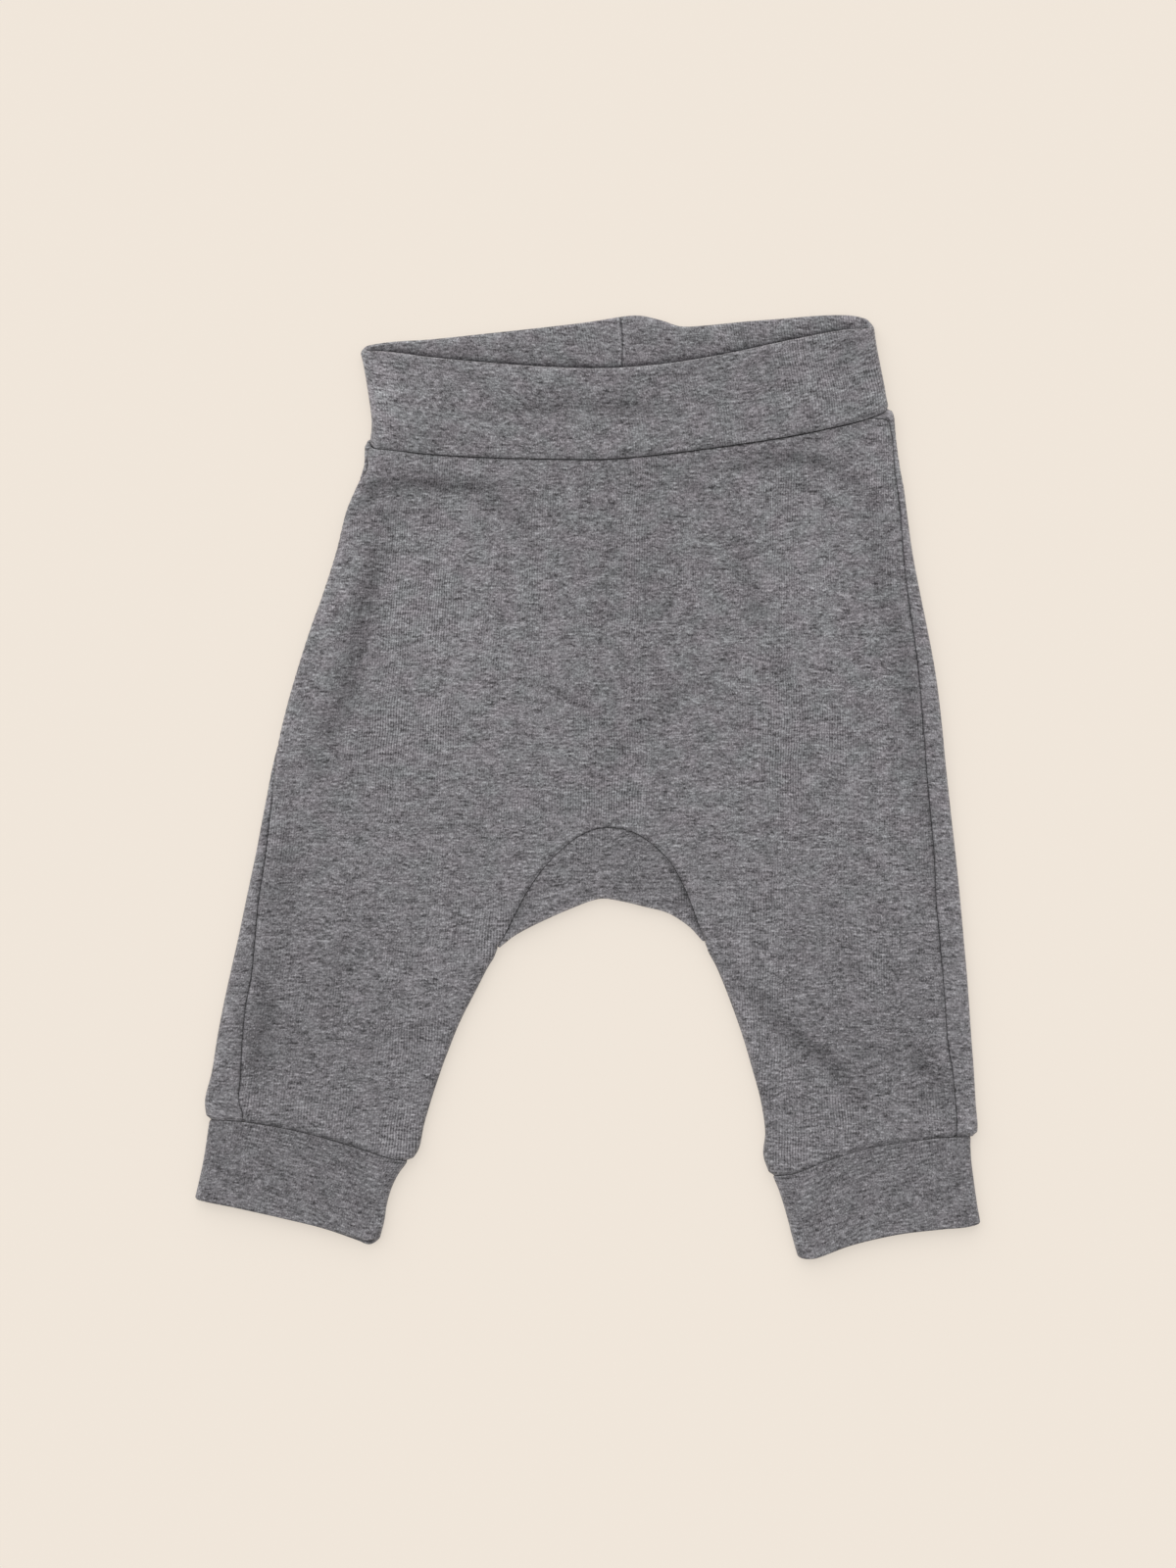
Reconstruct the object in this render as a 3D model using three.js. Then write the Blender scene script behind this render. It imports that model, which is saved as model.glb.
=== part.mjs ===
// Baby harem pants in knitted jersey, lying flat on their back.
// Frame: millimetres, +Y towards the waist, +X towards the wearer's left, +Z up,
// the origin under the middle of the garment, where it lies.
// "right" and "left" are the wearer's: the right leg is at -X.
import * as THREE from 'three';

// ---------------------------------------------------------------- sizes
const JERSEY = 1.1;          // wall of the body, one layer
const BAND_WALL = 2.2;       // wall of the waistband, folded double
const CUFF_WALL = 2.0;       // wall of a cuff, folded double
const SEAM_GAP = 0.3;        // between two pieces at a seam
const TUBE_GAP = 0.5;        // the same at the waist and hem seams, along Y, where the rows of the two pieces differ
const FOLD_R = 2.3;          // how far in from a side fold the cloth rounds over
const FOLD_MID = 2.3;        // height of the outermost line of a side fold
const BODY_THICK = 3.9;      // over both layers of the body, away from its folds
const FOLD_PUFF = 0.8;       // extra thickness beside a side fold
const FOLD_PUFF_REACH = 8;   // how far that puff fades inwards
const LAYER_AIR = 0.5;       // least air between front and back
const BAND_THICK = 5.2;      // over both walls of the waistband
const BAND_R = 2.6;          // rounding of its side folds
const CUFF_THICK = 5.0;      // over both walls of a cuff
const CUFF_R = 2.5;          // rounding of its side folds
const CENTRE_X = 7.5;        // centre line of the body as it lies
const INSEAM_UNDER = 1.4;    // how far the inseam lies in under the inner fold
const RIM_REACH = 8;         // strip beside a fold with finer sections

// Rows of sections.
const ROWS_TO_APEX = 9;      // waist seam to the top of the crotch arch
const ARCH_STEPS = [0.17, 0.34, 0.51, 0.67, 0.82, 0.93, 1]; // rows along half an arch, to the gusset's tip
const ROWS_TO_HEM = 8;       // gusset's tip to the hem seam
const V_APEX = 0.48;         // station of the arch's top, 0 at waist, 1 at hem
const V_TIP = 0.70;          // station of the gusset's tips

// ---------------------------------------------------------------- tables
// Outline of the body, a row for each level section. seam: how far in from the
// outer fold the side seam lies on top (below 0: just under the fold).
const BODY_SECTIONS = [
  { y:  134.1, rightFold:  -78.8, rightSeam:  -1.0, leftSeam:   1.2, leftFold:  110.1 },
  { y:  122.1, rightFold:  -78.8, rightSeam:  -1.0, leftSeam:   1.5, leftFold:  111.6 },
  { y:  112.0, rightFold:  -80.5, rightSeam:  -1.0, leftSeam:   2.2, leftFold:  113.1 },
  { y:   98.0, rightFold:  -86.7, rightSeam:  -1.0, leftSeam:   2.5, leftFold:  115.2 },
  { y:   84.0, rightFold:  -90.4, rightSeam:  -1.0, leftSeam:   3.5, leftFold:  117.3 },
  { y:   70.0, rightFold:  -94.7, rightSeam:  -1.0, leftSeam:   4.6, leftFold:  119.9 },
  { y:   55.0, rightFold: -100.0, rightSeam:  -0.8, leftSeam:   5.4, leftFold:  123.0 },
  { y:   40.0, rightFold: -104.8, rightSeam:  -0.7, leftSeam:   6.2, leftFold:  125.5 },
  { y:   24.0, rightFold: -109.2, rightSeam:  -0.6, leftSeam:   6.8, leftFold:  127.4 },
  { y:    8.0, rightFold: -112.8, rightSeam:   0.6, leftSeam:   7.1, leftFold:  129.1 },
  { y:   -8.0, rightFold: -116.0, rightSeam:   2.3, leftSeam:   7.4, leftFold:  130.8 },
  { y:  -24.0, rightFold: -119.1, rightSeam:   3.6, leftSeam:   7.8, leftFold:  132.5 },
  { y:  -40.0, rightFold: -122.5, rightSeam:   4.5, leftSeam:   8.8, leftFold:  134.1 },
  { y:  -54.0, rightFold: -125.4, rightSeam:   6.1, leftSeam:   8.8, leftFold:  135.4 },
  { y:  -66.0, rightFold: -128.1, rightSeam:   7.6, leftSeam:   8.8, leftFold:  136.4 },
  { y:  -78.0, rightFold: -130.7, rightSeam:   8.1, leftSeam:   8.8, leftFold:  137.3 },
  { y:  -90.0, rightFold: -133.0, rightSeam:   9.2, leftSeam:   8.7, leftFold:  138.0 },
  { y: -102.0, rightFold: -134.9, rightSeam:  10.5, leftSeam:   7.8, leftFold:  138.9 },
  { y: -112.0, rightFold: -137.0, rightSeam:  11.8, leftSeam:   7.3, leftFold:  139.7 },
  { y: -119.7, rightFold: -135.9, rightSeam:  11.6, leftSeam:   6.8, leftFold:  140.2 },
  { y: -125.7, rightFold: -135.9, rightSeam:  11.6, leftSeam:   6.4, leftFold:  139.6 },
];
// Inner fold of each leg, from the gusset's tip to the hem seam.
const RIGHT_INNER = [
  { y:  -58.3, x: -32.0 }, { y:  -65.4, x: -35.9 }, { y:  -73.1, x: -40.1 },
  { y:  -84.4, x: -45.7 }, { y:  -97.9, x: -51.0 }, { y: -109.5, x: -55.3 },
  { y: -120.1, x: -58.5 }, { y: -128.9, x: -60.2 }, { y: -134.6, x: -63.8 },
];
const LEFT_INNER = [
  { y:  -56.2, x:  42.5 }, { y:  -65.4, x:  47.1 }, { y:  -77.7, x:  52.0 },
  { y:  -90.8, x:  56.6 }, { y: -103.1, x:  60.2 }, { y: -113.7, x:  63.0 },
  { y: -124.3, x:  64.4 }, { y: -132.4, x:  63.5 }, { y: -139.9, x:  66.2 },
];
// Crotch: the gusset's seam on the front, the fold, and its seam on the back.
const FRONT_ARCH = [
  { x: -32.0, y: -58.3 }, { x: -27.4, y: -48.8 }, { x: -21.0, y: -36.8 },
  { x: -13.3, y: -26.5 }, { x:  -2.3, y: -17.2 }, { x:   7.5, y: -14.4 },
  { x:  18.1, y: -16.7 }, { x:  28.7, y: -25.1 }, { x:  34.4, y: -34.3 },
  { x:  38.6, y: -44.5 }, { x:  42.5, y: -56.2 },
];
const CROTCH_FOLD = [
  { x: -32.0, y: -58.3 }, { x: -25.6, y: -53.0 }, { x: -16.8, y: -48.4 },
  { x:  -5.5, y: -43.7 }, { x:   4.7, y: -40.1 }, { x:  12.1, y: -40.8 },
  { x:  20.6, y: -42.8 }, { x:  29.1, y: -45.3 }, { x:  36.5, y: -49.8 },
  { x:  42.5, y: -56.2 },
];
const BACK_ARCH = [
  { x: -32.0, y: -58.3 }, { x: -25.0, y: -47.5 }, { x: -16.5, y: -35.5 },
  { x:  -6.0, y: -26.5 }, { x:   7.5, y: -22.5 }, { x:  20.5, y: -26.0 },
  { x:  30.5, y: -35.0 }, { x:  37.5, y: -45.5 }, { x:  42.5, y: -56.2 },
];
// Waist seam, and upper edge of the waistband in front, by X.
const WAIST = [
  { x: -82.0, seamFront: 122.1, seamBack: 122.0, topFront: 156.5 },
  { x: -78.8, seamFront: 122.1, seamBack: 122.1, topFront: 157.6 },
  { x: -70.1, seamFront: 121.4, seamBack: 123.8, topFront: 157.5 },
  { x: -56.0, seamFront: 119.9, seamBack: 126.7, topFront: 155.4 },
  { x: -34.8, seamFront: 118.7, seamBack: 130.2, topFront: 153.4 },
  { x: -13.6, seamFront: 118.2, seamBack: 133.4, topFront: 151.9 },
  { x:   7.6, seamFront: 118.2, seamBack: 135.4, topFront: 151.5 },
  { x:  28.7, seamFront: 120.1, seamBack: 136.2, topFront: 153.1 },
  { x:  49.9, seamFront: 122.8, seamBack: 136.2, topFront: 156.6 },
  { x:  71.1, seamFront: 126.0, seamBack: 135.8, topFront: 161.1 },
  { x:  92.3, seamFront: 130.2, seamBack: 135.1, topFront: 165.2 },
  { x: 102.9, seamFront: 132.8, seamBack: 134.6, topFront: 165.6 },
  { x: 110.1, seamFront: 134.1, seamBack: 134.1, topFront: 164.1 },
];
// Upper edge of the waistband behind: a peak at its closing seam and a dip beside it.
const BACK_TOP = [
  { x: -82.0, y: 156.5 }, { x: -78.8, y: 158.2 }, { x: -70.1, y: 160.0 }, { x: -56.0, y: 161.1 },
  { x: -34.8, y: 163.2 }, { x: -13.6, y: 165.5 }, { x:   0.5, y: 167.4 }, { x:  14.6, y: 169.4 },
  { x:  19.9, y: 169.6 }, { x:  27.0, y: 168.0 }, { x:  34.0, y: 165.9 }, { x:  42.9, y: 166.2 },
  { x:  57.0, y: 167.3 }, { x:  71.1, y: 168.5 }, { x:  85.2, y: 169.6 }, { x:  95.1, y: 169.6 },
  { x: 100.7, y: 168.3 }, { x: 105.0, y: 166.0 }, { x: 110.1, y: 164.2 },
];
// Side folds of the waistband, from its seam (0) to its upper edge (1).
const BAND_SIDES = [
  { at: 0.0, right: -76.9, left: 109.2 },
  { at: 0.3, right: -77.6, left: 108.2 },
  { at: 0.6, right: -79.0, left: 106.2 },
  { at: 1.0, right: -80.5, left: 103.8 },
];
// Hem seam of each leg, by distance along it from the outer fold (0) to the inner fold (1).
const HEMS = [
  { at: 0.00, rightX: -135.9, rightY: -119.7, leftX: 139.6, leftY: -125.7 },
  { at: 0.15, rightX: -125.0, rightY: -120.3, leftX: 128.6, leftY: -126.2 },
  { at: 0.35, rightX: -110.4, rightY: -122.5, leftX: 114.0, leftY: -128.0 },
  { at: 0.55, rightX:  -96.0, rightY: -125.9, leftX:  99.6, leftY: -130.5 },
  { at: 0.75, rightX:  -81.6, rightY: -130.2, leftX:  85.4, leftY: -135.1 },
  { at: 0.90, rightX:  -71.0, rightY: -133.6, leftX:  74.4, leftY: -139.2 },
  { at: 1.00, rightX:  -63.8, rightY: -134.6, leftX:  66.2, leftY: -139.9 },
];
// Lower edge of each cuff, front and back layer.
const CUFF_ENDS = [
  { at: 0.00, rightX: -140.9, rightY: -148.0, rightBackY: -148.0, leftX: 141.2, leftY: -156.4 },
  { at: 0.20, rightX: -127.5, rightY: -151.0, rightBackY: -151.2, leftX: 127.8, leftY: -159.3 },
  { at: 0.45, rightX: -111.0, rightY: -155.0, rightBackY: -155.2, leftX: 111.3, leftY: -161.4 },
  { at: 0.70, rightX:  -94.6, rightY: -159.0, rightBackY: -159.6, leftX:  94.8, leftY: -165.6 },
  { at: 0.88, rightX:  -82.8, rightY: -161.0, rightBackY: -163.6, leftX:  83.0, leftY: -169.6 },
  { at: 1.00, rightX:  -75.0, rightY: -160.6, rightBackY: -162.6, leftX:  76.0, leftY: -168.6 },
];
// Sideways bow of a cuff's sides at its half height, along X: each side is waisted.
const CUFF_BOW = { rightOuter: 0.5, rightInner: -1.4, leftOuter: -0.9, leftInner: 0.7 };
// Largest folds of the top layer: a line through three points, its height
// (below 0: a trough) and its half width.
const CREASES = [
  { name: 'right edge trough',   x1:  -70, y1: 100, x2:  -83, y2:  58, x3:  -94, y3:   12, height: -1.0, half: 7 },
  { name: 'left waist trough',   x1:   40, y1: 112, x2:   72, y2: 115, x3:   98, y3: 116, height: -0.9, half: 6 },
  { name: 'left edge trough',    x1:  104, y1: 108, x2:  112, y2:  66, x3:  124, y3:  -8, height: -0.8, half: 6 },
  { name: 'right waist arc',     x1:  -82, y1: 101, x2:  -66, y2: 110, x3:  -26, y3: 102, height: -0.8, half: 6 },
  { name: 'middle soft crease',  x1:   36, y1:  34, x2:    9, y2:  18, x3:   -2, y3:  -6, height: -0.5, half: 8 },
  { name: 'left hip diagonal',   x1:   54, y1:  90, x2:   64, y2:  60, x3:   71, y3:  41, height: -0.6, half: 8 },
  { name: 'left knee trough',    x1:   56, y1: -68, x2:   74, y2: -84, x3:   92, y3:-105, height: -1.1, half: 6 },
  { name: 'left knee ridge',     x1:   56, y1: -84, x2:   66, y2: -94, x3:   82, y3:-110, height:  0.8, half: 6 },
  { name: 'right hem ridge',     x1: -128, y1:-112, x2: -100, y2:-116, x3:  -68, y3:-126, height:  1.0, half: 6 },
  { name: 'left hem ridge',      x1:   74, y1:-130, x2:   98, y2:-122, x3:  132, y3:-117, height:  1.0, half: 6 },
];

// ---------------------------------------------------------------- curves
// Smooth reading of a table column: cubic through the rows, with the mean
// slope of the two neighbouring rows at each row.
function read(table, key, column) {
  const rows = [...table].sort((a, b) => a[key] - b[key]);
  const k = rows.map((r) => r[key]);
  const c = rows.map((r) => r[column]);
  const last = k.length - 1;
  const slope = (i) => {
    const a = Math.max(i - 1, 0), b = Math.min(i + 1, last);
    return (c[b] - c[a]) / (k[b] - k[a]);
  };
  return (t) => {
    if (t <= k[0]) return c[0] + slope(0) * (t - k[0]) * 0.5;
    if (t >= k[last]) return c[last] + slope(last) * (t - k[last]) * 0.5;
    let i = 0;
    while (t > k[i + 1]) i++;
    const h = k[i + 1] - k[i], s = (t - k[i]) / h, s2 = s * s, s3 = s2 * s;
    return c[i] * (2 * s3 - 3 * s2 + 1) + c[i + 1] * (3 * s2 - 2 * s3)
      + slope(i) * h * (s3 - 2 * s2 + s) + slope(i + 1) * h * (s3 - s2);
  };
}
// A curve through the rows of an x, y table, by its fraction of length.
function along(table) {
  let d = 0;
  const rows = table.map((r, i) => {
    if (i) d += Math.hypot(r.x - table[i - 1].x, r.y - table[i - 1].y);
    return { at: d, x: r.x, y: r.y };
  });
  const x = read(rows, 'at', 'x'), y = read(rows, 'at', 'y');
  return (t) => ({ x: x(t * d), y: y(t * d) });
}
const mix = (a, b, t) => a + (b - a) * t;
const clamp = (x, a, b) => Math.min(Math.max(x, a), b);

const seamFrontY = read(WAIST, 'x', 'seamFront');
const seamBackY = read(WAIST, 'x', 'seamBack');
const topFrontY = read(WAIST, 'x', 'topFront');
const topBackY = read(BACK_TOP, 'x', 'y');
const frontArch = along(FRONT_ARCH);
const crotchFold = along(CROTCH_FOLD);
const backArch = along(BACK_ARCH);
const APEX_FRONT = archApex(FRONT_ARCH), APEX_BACK = archApex(BACK_ARCH);
function archApex(table) {               // fraction of length at the centre line
  const f = along(table);
  let lo = 0, hi = 1;
  for (let i = 0; i < 40; i++) { const m = (lo + hi) / 2; if (f(m).x < CENTRE_X) lo = m; else hi = m; }
  return lo;
}

// How far round a side fold a seam lies, from how far in from the outline it is.
function roundFold(d) {
  if (d <= 0) return d;
  return d < FOLD_R ? FOLD_R * Math.acos(1 - d / FOLD_R) : d - FOLD_R + QUARTER;
}

// One leg with its half of the body. side: -1 the wearer's right, +1 the left.
function half(side) {
  const right = side < 0;
  const fold = read(BODY_SECTIONS, 'y', right ? 'rightFold' : 'leftFold');
  const seamIn = read(BODY_SECTIONS, 'y', right ? 'rightSeam' : 'leftSeam');
  const seam = (y) => roundFold(seamIn(y));
  const innerTable = right ? RIGHT_INNER : LEFT_INNER;
  const inner = read(innerTable, 'y', 'x');
  const hemX = read(HEMS, 'at', right ? 'rightX' : 'leftX');
  const hemY = read(HEMS, 'at', right ? 'rightY' : 'leftY');
  const waistX = right ? -78.8 : 110.1;
  const yTop = seamFrontY(waistX), yHem = hemY(0);
  const yTip = innerTable[0].y, yIn = innerTable[innerTable.length - 1].y;
  const outer = (v) => { const y = mix(yTop, yHem, v); return { x: fold(y), y }; };
  const innerFold = (v) => { const y = mix(yTip, yIn, (v - V_TIP) / (1 - V_TIP)); return { x: inner(y), y }; };
  // Inner boundary of the front (or back): centre line, arch, then inner fold.
  const boundary = (v, back) => {
    const apex = back ? APEX_BACK : APEX_FRONT, arch = back ? backArch : frontArch;
    const top = (back ? seamBackY : seamFrontY)(CENTRE_X);
    if (v <= V_APEX) return { x: CENTRE_X, y: mix(top, arch(apex).y, v / V_APEX) };
    if (v < V_TIP) {
      const s = (v - V_APEX) / (V_TIP - V_APEX);
      return arch(right ? mix(apex, 0, s) : mix(apex, 1, s));
    }
    return innerFold(v);
  };
  return { side, right, outer, innerFold, boundary, seam, hemX, hemY };
}
const HALVES = [half(-1), half(1)];

// Outline of the body as line pieces, for the distance to its folds.
const OUTLINE = [];
for (const h of HALVES) {
  for (let i = 0; i < 60; i++) OUTLINE.push([h.outer(i / 60), h.outer((i + 1) / 60)]);
  for (let i = 0; i < 24; i++) {
    OUTLINE.push([h.innerFold(mix(V_TIP, 1, i / 24)), h.innerFold(mix(V_TIP, 1, (i + 1) / 24))]);
  }
}
for (let i = 0; i < 40; i++) OUTLINE.push([crotchFold(i / 40), crotchFold((i + 1) / 40)]);
function nearest(x, y, lines) {
  let best = { d: 1e9, x: 0, y: 0 };
  for (const [a, b] of lines) {
    const ux = b.x - a.x, uy = b.y - a.y;
    const t = clamp(((x - a.x) * ux + (y - a.y) * uy) / (ux * ux + uy * uy), 0, 1);
    const px = a.x + ux * t, py = a.y + uy * t, d = Math.hypot(x - px, y - py);
    if (d < best.d) best = { d, x: px, y: py };
  }
  return best;
}

// ---------------------------------------------------------------- heights
// Height of the body's upper face, over both layers, away from the roundings.
function bodyTop(x, y) {
  const d = nearest(x, y, OUTLINE).d;
  let h = BODY_THICK + FOLD_PUFF * Math.exp(-(((d - FOLD_R) / FOLD_PUFF_REACH) ** 2));
  for (const c of CREASES) {
    const lines = [[{ x: c.x1, y: c.y1 }, { x: c.x2, y: c.y2 }], [{ x: c.x2, y: c.y2 }, { x: c.x3, y: c.y3 }]];
    const n = nearest(x, y, lines);
    h += c.height * Math.exp(-((n.d / c.half) ** 2));
  }
  return Math.max(h, 2 * JERSEY + LAYER_AIR);
}

// A fold's section: s is the distance from its outermost line, measured round
// the cloth, above 0 on the upper side. Gives the distance in from the outline
// and the height, on the outer face (deep 0) or deep in the wall.
function foldSection(s, top, mid, r, deep) {
  const quarter = Math.PI * r / 2;
  if (Math.abs(s) >= quarter) {
    return { d: Math.abs(s) - quarter + r, z: s > 0 ? top - deep : deep };
  }
  const a = (s / quarter) * Math.PI / 2;
  const rise = (s > 0 ? top - mid : mid) - deep;
  return { d: r - (r - deep) * Math.cos(a), z: mid + rise * Math.sin(a) };
}
const QUARTER = Math.PI * FOLD_R / 2;

// A point in the flat of the body's upper or lower layer.
function flatPoint(x, y, upper, deep) {
  const n = nearest(x, y, OUTLINE), top = upper ? bodyTop(x, y) : 0;
  if (n.d >= FOLD_R || n.d < 1e-6) return new THREE.Vector3(x, y, upper ? top - deep : deep);
  const a = Math.acos(clamp(1 - n.d / FOLD_R, -1, 1));
  const shift = (FOLD_R - (FOLD_R - deep) * Math.cos(a)) - n.d;
  const ux = (x - n.x) / n.d, uy = (y - n.y) / n.d;
  const z = upper ? FOLD_MID + (top - FOLD_MID - deep) * Math.sin(a) : FOLD_MID - (FOLD_MID - deep) * Math.sin(a);
  return new THREE.Vector3(x + ux * shift, y + uy * shift, z);
}
// A point round a fold of the body: p on the outline, u the way in, cos the
// slant of u to the outline's normal.
function foldPoint(p, u, cos, s, deep) {
  const q = FOLD_R / cos;
  const top = bodyTop(p.x + u.x * q, p.y + u.y * q);
  const inside = Math.max(Math.abs(s) - QUARTER + FOLD_R, FOLD_R) / cos;
  const here = s > QUARTER ? bodyTop(p.x + u.x * inside, p.y + u.y * inside) : top;
  const f = foldSection(s, here, FOLD_MID, FOLD_R, deep);
  return new THREE.Vector3(p.x + u.x * f.d / cos, p.y + u.y * f.d / cos, f.z);
}

// ---------------------------------------------------------------- sheets
// A sheet of cloth is a net of outer points, each with its inner point one
// wall away, and four-sided cells. It closes into one solid with its rims.
class Sheet {
  constructor() { this.outer = []; this.inner = []; this.cells = []; this.keys = new Map(); }
  add(o, i) {
    const key = [o.x, o.y, o.z].map((c) => Math.round(c * 200)).join(' ');
    if (this.keys.has(key)) return this.keys.get(key);
    this.outer.push(o); this.inner.push(i);
    this.keys.set(key, this.outer.length - 1);
    return this.outer.length - 1;
  }
  net(rows, flip, closed = false) {
    for (let r = 0; r + 1 < rows.length; r++) {
      const n = rows[r].length;
      for (let c = 0; c < (closed ? n : n - 1); c++) {
        const d = (c + 1) % n;
        const q = [rows[r][c], rows[r][d], rows[r + 1][d], rows[r + 1][c]];
        this.cells.push(flip ? q.reverse() : q);
      }
    }
  }
  geometry() {
    const n = this.outer.length, tris = [], edges = new Map();
    const face = (a, b, c) => { if (a !== b && b !== c && a !== c) tris.push([a, b, c]); };
    const rim = [];
    for (const [a, b, c, d] of this.cells) {
      // split each cell along its shorter diagonal
      const ac = this.outer[a].distanceTo(this.outer[c]), bd = this.outer[b].distanceTo(this.outer[d]);
      const parts = ac <= bd ? [[a, b, c], [a, c, d]] : [[a, b, d], [b, c, d]];
      for (const t of parts) {
        if (t[0] === t[1] || t[1] === t[2] || t[0] === t[2]) continue;
        face(...t);
        face(t[2] + n, t[1] + n, t[0] + n);
        for (let i = 0; i < 3; i++) edges.set(t[i] + ' ' + t[(i + 1) % 3], [t[i], t[(i + 1) % 3]]);
      }
    }
    for (const [p, q] of edges.values()) if (!edges.has(q + ' ' + p)) rim.push([p, q]);
    for (const [p, q] of rim) { face(q, p, p + n); face(q, p + n, q + n); }
    const pts = [...this.outer, ...this.inner];
    let volume = 0;
    for (const [a, b, c] of tris) volume += pts[a].dot(new THREE.Vector3().crossVectors(pts[b], pts[c])) / 6;
    const g = new THREE.BufferGeometry();
    g.setAttribute('position', new THREE.Float32BufferAttribute(pts.flatMap((p) => [p.x, p.y, p.z]), 3));
    g.setIndex(tris.flatMap(([a, b, c]) => (volume < 0 ? [a, c, b] : [a, b, c])));
    g.computeVertexNormals();
    return g;
  }
}

// Stations from the waist seam to the hem seam.
const STATIONS = [];
for (let i = 0; i <= ROWS_TO_APEX; i++) STATIONS.push(V_APEX * (i / ROWS_TO_APEX));
for (const step of ARCH_STEPS) STATIONS.push(mix(V_APEX, V_TIP, step));
for (let i = 1; i <= ROWS_TO_HEM; i++) STATIONS.push(mix(V_TIP, 1, i / ROWS_TO_HEM));
const APEX_ROW = ROWS_TO_APEX, TIP_ROW = ROWS_TO_APEX + ARCH_STEPS.length;

// Section line of one half at station v: its two ends and its slant to them.
function section(h, v, back) {
  const o = h.outer(v), i = h.boundary(v, back);
  const len = Math.hypot(i.x - o.x, i.y - o.y), u = { x: (i.x - o.x) / len, y: (i.y - o.y) / len };
  const slant = (f) => {
    const a = f(Math.max(v - 0.01, 0)), b = f(Math.min(v + 0.01, 1));
    const l = Math.hypot(b.x - a.x, b.y - a.y);
    return clamp(Math.abs(((b.x - a.x) * u.y - (b.y - a.y) * u.x) / l), 0.6, 1);
  };
  const cosOut = slant(h.outer);
  const cosIn = v > V_TIP ? slant((t) => h.innerFold(Math.max(t, V_TIP))) : 1;
  return { o, i, len, u, cosOut, cosIn, v };
}
// Bends the section lines so that the first lies on the waist seam and the
// last on the hem seam.
function bend(h, sec, point, upperShare) {
  const { v } = sec;
  const f = clamp(((point.x - sec.o.x) * sec.u.x + (point.y - sec.o.y) * sec.u.y) / sec.len, 0, 1);
  const straight = mix(sec.o.y, sec.i.y, f);
  if (v < 0.3) {
    const first = section(h, 0, upperShare < 0.5);
    const line = mix(first.o.y, first.i.y, f);
    const x = mix(first.o.x, first.i.x, f);
    const at = v === 0 ? point.x : x;
    const target = mix(seamBackY(at), seamFrontY(at), upperShare);
    point.y += (target - line) * (1 - v / 0.3) ** 2;
    if (v === 0) point.y = target;
  }
  if (v > 0.8) {
    const w = (v - 0.8) / 0.2;
    const a = { x: h.hemX(f), y: h.hemY(f) };
    const lineY = mix(h.hemY(0), h.hemY(1), f), lineX = mix(h.hemX(0), h.hemX(1), f);
    point.y += (a.y - lineY) * w * w;
    point.x += (a.x - lineX) * w * w;
  }
  return point;
}

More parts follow.
